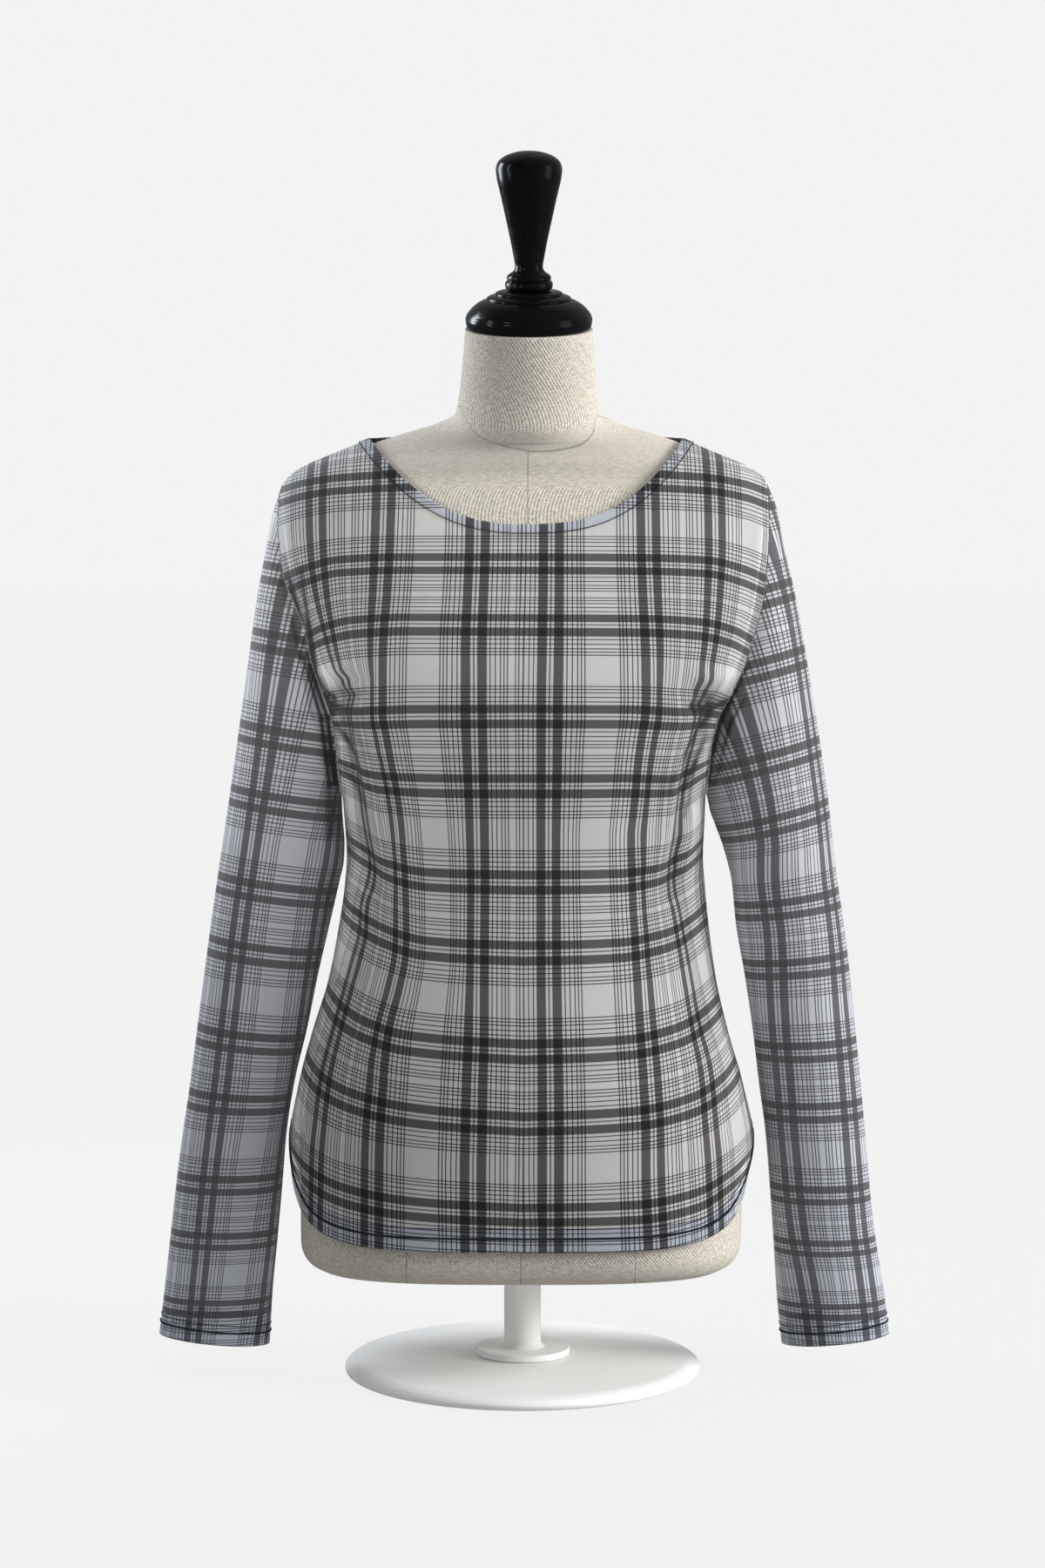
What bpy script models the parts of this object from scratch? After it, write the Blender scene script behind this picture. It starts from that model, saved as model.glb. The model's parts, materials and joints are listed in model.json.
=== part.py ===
"""Sheer long-sleeve top on a limbless linen dress form, with a turned neck cap and a low stand.

The part stands on the floor at z = 0, faces -Y and has +Z up. Tables are in millimetres and are
turned into metres when a mesh is written. Right and left are the wearer's: right is at -X.
"""

from collections import namedtuple
from math import pi, radians, tan

import bpy
import numpy as np

# ---------------------------------------------------------------- driving sizes, in millimetres

MM = 0.001
GAP = 0.3                   # between pieces that meet
SLEEVE_GAP = 0.7            # the same at the armholes, where the walls meet at an angle
CLOTH = 1.5                 # wall of the cloth pieces
BINDING_CLOTH = 2.0         # wall of the folded binding at the neck
BINDING_PROUD = 0.4         # how far the binding stands out over the panels
FOLD_FREE_EDGE = 0.15       # share of half a row, next to its seam, over which the folds fade out
CAP_PUFF = 5.0              # how far a sleeve's cap swells outwards below the armhole seam

FORM_BOTTOM = 85.0
FORM_TOP = 790.0
FORM_LEAN = 0.0088          # sideways drift of the form's axis for each unit of height
FORM_AXIS_AT_BOTTOM = -1.4
NECK_TILT = radians(11.5)   # the cut of the neck, and so the cap, leans forward
NECK_SHIFT = -14.0          # how far forward the neck has come at the cap

ARMHOLE_BOTTOM = 440.0
ARMHOLE_TOP = 676.0
ARMHOLE_REACH = {"front": 46.0, "back": 54.0}

HEM_POWER = 3.7             # how late the hem sweeps up towards the side seams
NECK_POWER = {"right": 2.4, "left": 2.8}     # the same for the neckline and the shoulders

FRONT_COLUMNS = 36
BACK_COLUMNS = 26
FORM_SIDES = 36
TURNED_SIDES = 28
FINE = 160                  # steps of the fine curve that each row is read from

POST_RADIUS = 14.0
POST_PLATE_RADIUS = 42.0    # round plates at the post's ends
POST_FOOT_RADIUS = 36.0
POST_PLATE = 5.0            # their thickness
POST_WELD = 3.0             # the bead between plate and tube

# ---------------------------------------------------------------- tables

FormRing = namedtuple("FormRing", "height half_width front back roundness centre_y tilt")
FORM_RINGS = [
    FormRing(85, 153.0, 97, 99, 3.1, 0, 0),
    FormRing(90, 161.5, 103, 105, 3.1, 0, 0),
    FormRing(102, 167.0, 106.5, 109.5, 3.0, 0, 0),
    FormRing(130, 167.6, 106.5, 110.5, 2.7, 0, 0),
    FormRing(170, 166.5, 107, 112, 2.4, 0, 0),
    FormRing(210, 161.0, 106, 111, 2.35, 0, 0),
    FormRing(250, 151.0, 102, 104, 2.3, 0, 0),
    FormRing(300, 134.0, 93, 90, 2.25, 0, 0),
    FormRing(340, 123.0, 86, 81, 2.2, 0, 0),
    FormRing(380, 119.0, 84, 78, 2.2, 0, 0),
    FormRing(420, 124.0, 92, 82, 2.2, 0, 0),
    FormRing(460, 131.0, 104, 90, 2.25, 0, 0),
    FormRing(500, 136.0, 114, 96, 2.3, 0, 0),
    FormRing(540, 146.0, 117, 99, 2.35, 0, 0),
    FormRing(580, 158.0, 109, 98, 2.35, 0, 0),
    FormRing(620, 169.0, 94, 92, 2.3, 0, 0),
    FormRing(650, 174.0, 79, 83, 2.15, 0, 0),
    FormRing(668, 173.5, 67, 75, 2.05, 0, 0),
    FormRing(680, 167.8, 58, 69, 1.95, 0, 0),
    FormRing(690, 151.6, 55, 63.3, 1.8, 0, 0.02),
    FormRing(699, 132.8, 51.5, 58.4, 1.65, 0, 0.06),
    FormRing(706, 114.2, 50, 54.7, 1.6, 0, 0.12),
    FormRing(712, 94.6, 50, 53.4, 1.65, 0, 0.20),
    FormRing(718, 71.0, 50, 52, 1.8, -1, 0.26),
    FormRing(726, 55.5, 50.5, 50, 2.0, -3, 0.27),
    FormRing(742, 52.0, 49, 49, 2.0, -5, 0.24),
    FormRing(766, 49.5, 48, 48, 2.0, -10, 0.21),
    FormRing(790, 48.3, 47, 47, 2.0, NECK_SHIFT, tan(NECK_TILT)),
]

# The body of the top: right and left are where a panel's edge stands, at the side seam, the
# armhole or the shoulder seam of that height.
BodyRing = namedtuple("BodyRing", "height right left front back roundness")
BODY_RINGS = [
    BodyRing(100, 173.2, 169.5, 112, 114.5, 2.9),
    BodyRing(125, 174.8, 170.2, 113, 115.5, 2.9),
    BodyRing(150, 176.2, 172.0, 113.5, 116.5, 2.55),
    BodyRing(180, 177.0, 175.5, 114, 117, 2.35),
    BodyRing(220, 170.5, 168.0, 113, 115, 2.35),
    BodyRing(260, 160.0, 156.5, 109.5, 108, 2.3),
    BodyRing(300, 147.5, 147.2, 106, 98, 2.25),
    BodyRing(340, 139.5, 141.5, 103, 90, 2.25),
    BodyRing(370, 135.0, 138.5, 102, 87, 2.25),
    BodyRing(395, 133.2, 136.8, 104, 88, 2.25),
    BodyRing(420, 134.6, 139.2, 108, 92, 2.25),
    BodyRing(450, 137.3, 141.5, 114, 97, 2.25),
    BodyRing(482, 139.5, 152.0, 121.5, 102, 2.3),
    BodyRing(500, 142.5, 161.0, 124, 104, 2.3),
    BodyRing(520, 149.0, 168.5, 125, 106, 2.35),
    BodyRing(540, 156.0, 171.5, 123.5, 107, 2.4),
    BodyRing(565, 161.0, 174.5, 119, 106, 2.4),
    BodyRing(585, 169.0, 178.0, 113.5, 104, 2.4),
    BodyRing(605, 177.0, 180.5, 106.5, 101, 2.4),
    BodyRing(625, 180.0, 182.5, 98, 97, 2.35),
    BodyRing(645, 182.0, 183.5, 88, 92, 2.3),
    BodyRing(662, 182.0, 184.0, 78.5, 86, 2.2),
    BodyRing(676, 179.5, 183.5, 69, 79.5, 2.1),
    BodyRing(687, 167.0, 172.0, 62, 73.5, 2.0),
    BodyRing(698, 142.0, 146.5, 55.5, 66.5, 1.85),
    BodyRing(707, 119.5, 125.0, 51.5, 61, 1.75),
    BodyRing(714, 102.0, 107.5, 49, 57, 1.7),
    BodyRing(720, 82.0, 88.0, 47, 55, 1.7),
]

# Rows of the two panels: the height at the edge, and at the middle of the front and of the back.
PanelRow = namedtuple("PanelRow", "edge front_middle back_middle")
PANEL_ROWS = [
    PanelRow(175.0, 112.0, 108.0),
    PanelRow(190.0, 128.0, 124.0),
    PanelRow(213.0, 156.0, 152.0),
    PanelRow(241.0, 193.0, 190.0),
    PanelRow(272.0, 234.0, 232.0),
    PanelRow(304.0, 277.0, 275.0),
    PanelRow(337.0, 318.0, 316.0),
    PanelRow(369.0, 357.0, 355.0),
    PanelRow(397.0, 388.0, 386.0),
    PanelRow(420.0, 412.0, 413.0),
    PanelRow(440.0, 433.0, 437.0),
    PanelRow(460.0, 454.0, 460.0),
    PanelRow(488.0, 478.0, 491.0),
    PanelRow(521.0, 504.0, 526.0),
    PanelRow(556.0, 530.0, 563.0),
    PanelRow(591.0, 556.0, 599.0),
    PanelRow(624.0, 580.0, 632.0),
    PanelRow(650.0, 600.0, 660.0),
    PanelRow(668.0, 614.0, 680.0),
    PanelRow(676.0, 621.0, 690.0),
    PanelRow(691.0, 629.0, 698.5),
    PanelRow(705.8, 636.9, 707.0),
]
BINDING_LOWER = PanelRow(706.0, 637.3, 707.4)
BINDING_UPPER = PanelRow(709.0, 644.0, 714.0)

# Rings of a sleeve from the armhole down to the cuff: heights of the ring's outer and inner side,
# and its reach to the front and the back.
SleeveRing = namedtuple("SleeveRing", "outer_height inner_height front back")
SLEEVE_RINGS = [
    SleeveRing(676, 440, 46, 54),
    SleeveRing(662, 438, 46, 53.5),
    SleeveRing(640, 435, 45.5, 53),
    SleeveRing(612, 432, 45, 52),
    SleeveRing(580, 429, 44, 51),
    SleeveRing(545, 426, 43, 49.5),
    SleeveRing(505, 422, 42, 48),
    SleeveRing(462, 418, 41, 46),
    SleeveRing(427, 404, 40, 44.5),
    SleeveRing(389, 376, 38.5, 42.5),
    SleeveRing(350, 342, 37, 40.5),
    SleeveRing(305, 297, 35, 38.5),
    SleeveRing(260, 252, 33.5, 36.5),
    SleeveRing(215, 207, 32, 34.5),
    SleeveRing(170, 162, 30.5, 33),
    SleeveRing(125, 117, 29.5, 31.5),
    SleeveRing(80, 72, 28.5, 30),
    SleeveRing(48, 40, 28, 29),
    SleeveRing(28, 20, 27.5, 28.5),
]
FIRST_TUBE_RING = 7         # the rings above it still turn out of the armhole

# How far a sleeve's outer and inner sides stand from the middle of the body at each height.
SleeveSide = namedtuple("SleeveSide", "height right left")
SLEEVE_OUTER = [
    SleeveSide(20, 279.0, 281.5),
    SleeveSide(60, 274.0, 276.4),
    SleeveSide(115, 267.6, 267.8),
    SleeveSide(169, 261.0, 262.5),
    SleeveSide(222, 253.0, 257.5),
    SleeveSide(276, 245.8, 251.8),
    SleeveSide(330, 238.4, 245.8),
    SleeveSide(382, 230.8, 238.0),
    SleeveSide(435, 222.6, 231.8),
    SleeveSide(488, 214.8, 224.0),
    SleeveSide(541, 207.2, 215.5),
    SleeveSide(593, 199.4, 206.4),
    SleeveSide(633, 191.5, 197.8),
    SleeveSide(659, 185.8, 193.0),
    SleeveSide(676, 180.0, 187.0),
]
SLEEVE_INNER = [
    SleeveSide(20, 193.6, 198.4),
    SleeveSide(60, 191.2, 194.4),
    SleeveSide(101, 187.2, 191.8),
    SleeveSide(142, 183.4, 188.8),
    SleeveSide(182, 180.0, 185.4),
    SleeveSide(222, 173.6, 180.0),
    SleeveSide(262, 164.0, 175.2),
    SleeveSide(302, 155.8, 169.2),
    SleeveSide(342, 146.5, 162.2),
    SleeveSide(376, 138.6, 158.6),
    SleeveSide(390, 135.6, 155.4),
    SleeveSide(404, 135.0, 151.2),
    SleeveSide(418, 136.0, 146.0),
    SleeveSide(429, 137.0, 142.8),
    SleeveSide(440, 138.0, 142.4),
]

# Main folds: a soft trough (depth below 0) or ridge between two points given as x and height.
Fold = namedtuple("Fold", "x0 height0 x1 height1 width depth")
FRONT_FOLDS = [
    Fold(-146, 512, -92, 521, 11, -5.0),    # drag line out of the right armpit
    Fold(-146, 533, -112, 536, 13, 3.5),    # the pouch above it
    Fold(-124, 495, -104, 380, 13, -3.5),
    Fold(-88, 400, -100, 250, 16, 2.5),
    Fold(156, 510, 118, 506, 11, -5.5),     # drag line out of the left armpit
    Fold(150, 530, 124, 534, 13, 4.5),
    Fold(128, 496, 108, 372, 13, -5.0),
    Fold(100, 500, 84, 395, 12, 3.0),
    Fold(122, 380, 138, 270, 14, -3.0),
]
BACK_FOLDS = [
    Fold(-136, 500, -96, 520, 12, -4.0),
    Fold(140, 498, 98, 514, 12, -4.5),
    Fold(-60, 430, -78, 290, 18, -3.5),
    Fold(52, 440, 70, 270, 18, -4.0),
    Fold(-6, 400, 4, 240, 20, 2.5),
    Fold(110, 440, 124, 300, 14, -3.0),
]


# Radius and height down a turned profile, from its top to the face that it rests on.
CAP_PROFILE = [(0, 28.0), (15.0, 28.0), (20.0, 26.8), (27.5, 24.8), (29.5, 22.6), (37.5, 19.8),
               (43.5, 15.0), (46.8, 10.0), (47.5, 6.0), (47.2, 1.2), (46.0, 0), (0, 0)]
HANDLE_PROFILE = [(0, 102.5), (9.0, 101.8), (17.5, 99.0), (23.0, 95.0), (24.8, 89.5), (24.0, 82.0),
                  (20.6, 68.0), (17.0, 51.5), (13.6, 36.0), (10.4, 18.5), (11.0, 14.0), (15.4, 10.4),
                  (17.9, 5.8), (17.0, 1.2), (15.6, 0), (0, 0)]
BASE_PROFILE = [(0, 12.0), (40.0, 12.0), (126.0, 9.0), (133.0, 7.0), (136.0, 4.0), (135.0, 0.8),
                (133.5, 0), (0, 0)]

Finish = namedtuple("Finish", "colour roughness")
CLOTH_FINISH = Finish((0.36, 0.35, 0.35), 0.75)
BLACK_GLOSS = Finish((0.012, 0.011, 0.011), 0.18)
PALE_ENAMEL = Finish((0.80, 0.79, 0.77), 0.5)
FINISHES = {
    "form_torso": Finish((0.56, 0.50, 0.41), 0.9),
    "neck_cap": BLACK_GLOSS,
    "cap_handle": BLACK_GLOSS,
    "stand_base": PALE_ENAMEL,
    "stand_post": PALE_ENAMEL,
    "top_front": CLOTH_FINISH,
    "top_back": CLOTH_FINISH,
    "sleeve_right": CLOTH_FINISH,
    "sleeve_left": CLOTH_FINISH,
    "neck_binding": Finish((0.46, 0.48, 0.54), 0.75),
}


# ---------------------------------------------------------------- curves through the tables

def smooth_through(heights, values, at):
    """Read values at some heights from a smooth curve that never overshoots its points."""
    heights, values, at = (np.asarray(numbers, float) for numbers in (heights, values, at))
    steps = np.diff(heights)
    slopes = np.diff(values) / steps
    tangents = np.zeros_like(values)
    weight0 = 2 * steps[1:] + steps[:-1]
    weight1 = steps[1:] + 2 * steps[:-1]
    same_way = slopes[:-1] * slopes[1:] > 0
    safe0 = np.where(same_way, slopes[:-1], 1)
    safe1 = np.where(same_way, slopes[1:], 1)
    tangents[1:-1] = np.where(same_way, (weight0 + weight1) / (weight0 / safe0 + weight1 / safe1), 0)
    tangents[0], tangents[-1] = slopes[0], slopes[-1]
    place = np.clip(np.searchsorted(heights, at) - 1, 0, len(steps) - 1)
    step = steps[place]
    t = np.clip((at - heights[place]) / step, 0, 1)
    low = values[place] * (2 * t**3 - 3 * t**2 + 1) + step * tangents[place] * (t**3 - 2 * t**2 + t)
    high = values[place + 1] * (3 * t**2 - 2 * t**3) + step * tangents[place + 1] * (t**3 - t**2)
    return low + high


def read(table, column, heights):
    """One named column of a table at the given heights."""
    known = [row.height for row in table]
    return smooth_through(known, [getattr(row, column) for row in table], heights)


def armhole_reach(face, heights):
    """How far the armhole's edge stands before or behind the side plane: half an ellipse."""
    middle = (ARMHOLE_BOTTOM + ARMHOLE_TOP) / 2
    half = (ARMHOLE_TOP - ARMHOLE_BOTTOM) / 2
    share = np.clip(1 - ((np.asarray(heights) - middle) / half)**2, 0, 1)
    return ARMHOLE_REACH[face] * np.sqrt(share)


def body_outline(side, face, heights):
    """Full half width, depth and roundness of the body's cross-section at the given heights."""
    edge = read(BODY_RINGS, side, heights)
    depth = read(BODY_RINGS, face, heights)
    roundness = read(BODY_RINGS, "roundness", heights)
    cut = (armhole_reach(face, heights) / depth)**roundness
    return edge / (1 - cut)**(1 / roundness), depth, roundness


def fold_height(folds, x, heights):
    """Sum of the folds at points given as x and height: a soft cross-section with faded ends."""
    total = np.zeros_like(x)
    for fold in folds:
        along = np.array([fold.x1 - fold.x0, fold.height1 - fold.height0])
        length = np.hypot(*along)
        along = along / length
        run = ((x - fold.x0) * along[0] + (heights - fold.height0) * along[1]) / length
        aside = (x - fold.x0) * along[1] - (heights - fold.height0) * along[0]
        past_end = np.maximum(np.maximum(-run, run - 1), 0) * length / fold.width
        total += fold.depth * np.exp(-(aside / fold.width)**2 - past_end**2)
    return total


def even_steps(points, count):
    """Re-read a fine polyline at count + 1 evenly spaced points, with the tangents there."""
    lengths = np.linalg.norm(np.diff(points, axis=0), axis=1)
    travelled = np.concatenate([[0], np.cumsum(lengths)])
    wanted = np.linspace(0, travelled[-1], count + 1)
    tangents = np.gradient(points, travelled, axis=0)
    places = [np.interp(wanted, travelled, points[:, axis]) for axis in range(3)]
    heading = [np.interp(wanted, travelled, tangents[:, axis]) for axis in range(3)]
    return np.stack(places, axis=1), np.stack(heading, axis=1)


# ---------------------------------------------------------------- the panels of the body

def half_row(side, face, edge_height, middle_height):
    """Fine curve of one row, from the middle of a panel to its edge on one side."""
    share = np.linspace(0, 1, FINE + 1)
    full_width, depth, roundness = body_outline(side, face, edge_height)
    edge = read(BODY_RINGS, side, edge_height)
    last_angle = np.arcsin(np.clip(edge / full_width, 0, 1)**(roundness / 2))
    angle = share * last_angle
    reach = ARMHOLE_TOP - ARMHOLE_BOTTOM
    upper = np.clip((edge_height - ARMHOLE_BOTTOM) / reach, 0, 1)
    upper = upper * upper * (3 - 2 * upper)

    def heights_at(x):
        sweep = (1 - upper) * share**HEM_POWER + upper * (x / edge)**NECK_POWER[side]
        return middle_height + (edge_height - middle_height) * np.clip(sweep, 0, 1)

    low, high = np.zeros_like(share), np.full_like(share, float(edge))
    for _ in range(40):
        x = (low + high) / 2
        width, _, roundness = body_outline(side, face, heights_at(x))
        too_far = x > width * np.sin(angle)**(2 / roundness)
        high = np.where(too_far, x, high)
        low = np.where(too_far, low, x)
    x = (low + high) / 2
    x[-1] = edge
    heights = heights_at(x)
    width, depth, roundness = body_outline(side, face, heights)
    y = depth * np.clip(1 - np.clip(x / width, 0, 1)**roundness, 0, 1)**(1 / roundness)
    y = np.maximum(y, GAP / 2)
    return np.stack([x, y, heights], axis=1)


def panel_row(face, row, columns):
    """Points and tangents of one whole row, anticlockwise from above, with its folds."""
    middle = row.front_middle if face == "front" else row.back_middle
    right = half_row("right", face, row.edge, middle) * [-1, 1, 1]
    left = half_row("left", face, row.edge, middle)
    if face == "front":
        points = np.concatenate([right[::-1], left[1:]]) * [1, -1, 1]
    else:
        points = np.concatenate([left[::-1], right[1:]])
    folds = FRONT_FOLDS if face == "front" else BACK_FOLDS
    outward = points * [1, 1, 0]
    outward = outward / np.linalg.norm(outward, axis=1, keepdims=True)
    from_edge = np.minimum(np.arange(len(points)), np.arange(len(points))[::-1])
    fade = np.clip(from_edge / (FOLD_FREE_EDGE * FINE), 0, 1)
    lift = fold_height(folds, points[:, 0], points[:, 2]) * fade * fade * (3 - 2 * fade)
    return even_steps(points + outward * lift[:, None], columns)


def surface_normals(points, row_tangents):
    """Outward normals of a grid: along each row, crossed with the way up from row to row."""
    upward = np.gradient(points, axis=0)
    normals = np.cross(row_tangents, upward)
    return normals / np.linalg.norm(normals, axis=2, keepdims=True)


def panel_grid(face, rows, columns):
    grid = [panel_row(face, row, columns) for row in rows]
    points = np.stack([places for places, _ in grid])
    tangents = np.stack([heading for _, heading in grid])
    normals = surface_normals(points, tangents)
    for number, row in enumerate(rows):
        if not ARMHOLE_BOTTOM < row.edge < ARMHOLE_TOP:
            normals[number, [0, -1], 1] = 0     # front and back meet square at their seam
    return points, normals / np.linalg.norm(normals, axis=2, keepdims=True)


# ---------------------------------------------------------------- the sleeves

def armhole_loop(side):
    """The panels' edge around one armhole: from the shoulder down the front and up the back."""
    sign = -1 if side == "right" else 1
    heights = np.array([row.edge for row in PANEL_ROWS
                        if ARMHOLE_BOTTOM <= row.edge <= ARMHOLE_TOP])[::-1]
    x = sign * read(BODY_RINGS, side, heights)
    front = np.stack([x, -armhole_reach("front", heights), heights], axis=1)
    back = np.stack([x, armhole_reach("back", heights), heights], axis=1)
    return np.concatenate([front, back[-2:0:-1]])


def loop_angles(side):
    """Angle of each point of the armhole around its middle, from the shoulder forwards."""
    loop = armhole_loop(side)
    middle = (ARMHOLE_BOTTOM + ARMHOLE_TOP) / 2
    half = (ARMHOLE_TOP - ARMHOLE_BOTTOM) / 2
    angles = np.arccos(np.clip((loop[:, 2] - middle) / half, -1, 1))
    return np.where(loop[:, 1] > 0, 2 * pi - angles, angles)


def plain_ring(side, ring, angles):
    """A flat oval between the outer and inner sides of a sleeve."""
    sign = -1 if side == "right" else 1
    outer = np.array([sign * read(SLEEVE_OUTER, side, ring.outer_height), 0, ring.outer_height])
    inner = np.array([sign * read(SLEEVE_INNER, side, ring.inner_height), 0, ring.inner_height])
    middle, half = (outer + inner) / 2, (outer - inner) / 2
    depth = np.where(angles <= pi, ring.front, ring.back)
    points = middle + np.cos(angles)[:, None] * half
    points[:, 1] -= depth * np.sin(angles)
    return points


def sleeve_grid(side):
    """Rows from the cuff up to the armhole. The armhole's own shape fades out down the cap."""
    angles = loop_angles(side)
    sign = -1 if side == "right" else 1
    seam = armhole_loop(side)
    inwards = seam.mean(axis=0) - seam
    inwards[:, 0] = 0
    inwards /= np.linalg.norm(inwards, axis=1, keepdims=True)
    seam = seam + SLEEVE_GAP * (inwards + [sign, 0, 0])
    own_shape = seam - plain_ring(side, SLEEVE_RINGS[0], angles)
    rows = []
    for number, ring in enumerate(SLEEVE_RINGS):
        share = min(1.0, number / FIRST_TUBE_RING)
        points = plain_ring(side, ring, angles) + (1 - share)**1.5 * own_shape
        points[:, 0] += sign * CAP_PUFF * np.sin(pi * share) * np.sin(angles)**2
        rows.append(points)
    points = np.stack(rows[::-1])
    if side == "left":
        points = points[:, ::-1]
    around = (np.roll(points, -1, axis=1) - np.roll(points, 1, axis=1)) / 2
    return points, surface_normals(points, around)


# ---------------------------------------------------------------- meshes

def add_piece(name, mesh):
    """Link a mesh as a named object with a material of its own."""
    finish = FINISHES[name]
    coat = bpy.data.materials.new(name + "_finish")
    coat.use_nodes = True
    shader = coat.node_tree.nodes["Principled BSDF"]
    shader.inputs["Base Color"].default_value = (*finish.colour, 1)
    shader.inputs["Roughness"].default_value = finish.roughness
    shader.inputs["Metallic"].default_value = 0.0
    mesh.materials.append(coat)
    made = bpy.data.objects.new(name, mesh)
    bpy.context.scene.collection.objects.link(made)
    return made


def add_faces(name, points, faces):
    mesh = bpy.data.meshes.new(name)
    mesh.from_pydata([tuple(point) for point in np.asarray(points) * MM], [], faces)
    mesh.update()
    mesh.shade_smooth()
    return add_piece(name, mesh)


def cloth_wall(name, points, normals, closed=False, thickness=CLOTH):
    """A closed wall from its outer points: the inner face is the same grid, moved inwards."""
    rows, columns = points.shape[:2]
    inner = points - thickness * normals
    vertices = np.concatenate([points.reshape(-1, 3), inner.reshape(-1, 3)])
    count = rows * columns
    outer_faces = []
    for row in range(rows - 1):
        for column in range(columns if closed else columns - 1):
            after = (column + 1) % columns
            low, high = row * columns, (row + 1) * columns
            outer_faces.append((low + column, low + after, high + after, high + column))
    inner_faces = [tuple(count + corner for corner in face[::-1]) for face in outer_faces]
    if closed:
        bottom = list(range(columns)) + [0]
        top = [(rows - 1) * columns + column for column in bottom]
        rims = [bottom, top[::-1]]
    else:
        bottom = list(range(columns))
        right = [row * columns + columns - 1 for row in range(rows)]
        top = [(rows - 1) * columns + column for column in bottom]
        left = [row * columns for row in range(rows)]
        rims = [bottom + right[1:] + top[::-1][1:] + left[::-1][1:]]
    rim_faces = []
    for rim in rims:
        for here, there in zip(rim, rim[1:]):
            rim_faces.append((there, here, here + count, there + count))
    return add_faces(name, vertices, outer_faces + inner_faces + rim_faces)


def form_ring(row):
    """One ring of the dress form: a rounded oval, with the neck rings tipped forward."""
    angles = np.linspace(0, 2 * pi, FORM_SIDES, endpoint=False)
    power = 2 / row.roundness
    across = np.sign(np.cos(angles)) * np.abs(np.cos(angles))**power
    deep = np.sign(np.sin(angles)) * np.abs(np.sin(angles))**power
    axis = FORM_AXIS_AT_BOTTOM + FORM_LEAN * (row.height - FORM_BOTTOM)
    x = axis + row.half_width * across
    y = np.where(deep < 0, row.front, row.back) * deep
    return np.stack([x, row.centre_y + y, row.height + row.tilt * y], axis=1)


def build_form():
    rings = [form_ring(row) for row in FORM_RINGS]
    faces = []
    for number in range(len(rings) - 1):
        low, high = number * FORM_SIDES, (number + 1) * FORM_SIDES
        for side in range(FORM_SIDES):
            after = (side + 1) % FORM_SIDES
            faces.append((low + side, low + after, high + after, high + side))
    last = (len(rings) - 1) * FORM_SIDES
    faces.append(tuple(range(FORM_SIDES))[::-1])
    faces.append(tuple(last + side for side in range(FORM_SIDES)))
    return add_faces("form_torso", np.concatenate(rings), faces)


def turned(name, profile, location=(0, 0, 0), lean=0.0):
    """A piece turned on a lathe around its own upright axis, then leaned and put in place."""
    mesh = bpy.data.meshes.new(name)
    points = [(radius * MM, 0, height * MM) for radius, height in profile]
    mesh.from_pydata(points, [(n, n + 1) for n in range(len(points) - 1)], [])
    made = add_piece(name, mesh)
    made.location = [value * MM for value in location]
    made.rotation_euler.x = lean
    screw = made.modifiers.new("turn", "SCREW")
    screw.steps = screw.render_steps = TURNED_SIDES
    screw.use_merge_vertices = True
    screw.merge_threshold = 0.00005
    screw.use_smooth_shade = True
    return made


# ---------------------------------------------------------------- cap, handle and stand

def post_profile(length):
    """A plain tube with a round plate at each end, from the top down."""
    under = length - POST_PLATE
    return [(0, length), (POST_PLATE_RADIUS, length), (POST_PLATE_RADIUS, under),
            (POST_RADIUS + POST_WELD, under), (POST_RADIUS, under - POST_WELD),
            (POST_RADIUS, POST_PLATE + POST_WELD), (POST_RADIUS + POST_WELD, POST_PLATE),
            (POST_FOOT_RADIUS, POST_PLATE), (POST_FOOT_RADIUS, 0), (0, 0)]


def build_hard_parts():
    """The cap on the form's cut neck, its handle, and the stand below the form."""
    lean_back = np.array([0, -np.sin(NECK_TILT), np.cos(NECK_TILT)])
    neck_axis = FORM_AXIS_AT_BOTTOM + FORM_LEAN * (FORM_TOP - FORM_BOTTOM)
    seat = np.array([neck_axis, NECK_SHIFT, FORM_TOP]) + GAP * lean_back
    turned("neck_cap", CAP_PROFILE, seat, NECK_TILT)
    cap_height = CAP_PROFILE[0][1]
    turned("cap_handle", HANDLE_PROFILE, seat + (cap_height + GAP) * lean_back, NECK_TILT)
    turned("stand_base", BASE_PROFILE)
    base_height = BASE_PROFILE[0][1]
    post_length = FORM_BOTTOM - base_height - 2 * GAP
    turned("stand_post", post_profile(post_length), (0, 0, base_height + GAP))


# ---------------------------------------------------------------- the top

def build_binding():
    """The bound neck edge: one closed band that carries on from both panels."""
    rows = (BINDING_LOWER, BINDING_UPPER)
    front, front_normals = panel_grid("front", rows, FRONT_COLUMNS)
    back, back_normals = panel_grid("back", rows, BACK_COLUMNS)
    points = np.concatenate([front[:, :-1], back[:, :-1]], axis=1)
    normals = np.concatenate([front_normals[:, :-1], back_normals[:, :-1]], axis=1)
    points = points + BINDING_PROUD * normals
    cloth_wall("neck_binding", points, normals, closed=True, thickness=BINDING_CLOTH)


def build_top():
    for face, columns in (("front", FRONT_COLUMNS), ("back", BACK_COLUMNS)):
        points, normals = panel_grid(face, PANEL_ROWS, columns)
        cloth_wall("top_" + face, points, normals)
    for side in ("right", "left"):
        points, normals = sleeve_grid(side)
        cloth_wall("sleeve_" + side, points, normals, closed=True)
    build_binding()


def main():
    for old in list(bpy.data.objects):
        bpy.data.objects.remove(old, do_unlink=True)
    build_form()
    build_hard_parts()
    build_top()


main()
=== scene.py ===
# %% [markdown]
# # A sheer plaid top on its dress form
# The object is a long-sleeved top of thin, see-through plaid mesh. It is pulled over a limbless
# dress form of padded linen, which has a black turned cap and handle and a low pale stand.
# Cloth is the main thing here: each sewn piece is a single sheet of mesh with its own cut, so the
# plaid can follow the threads and light can pass through it.

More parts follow.
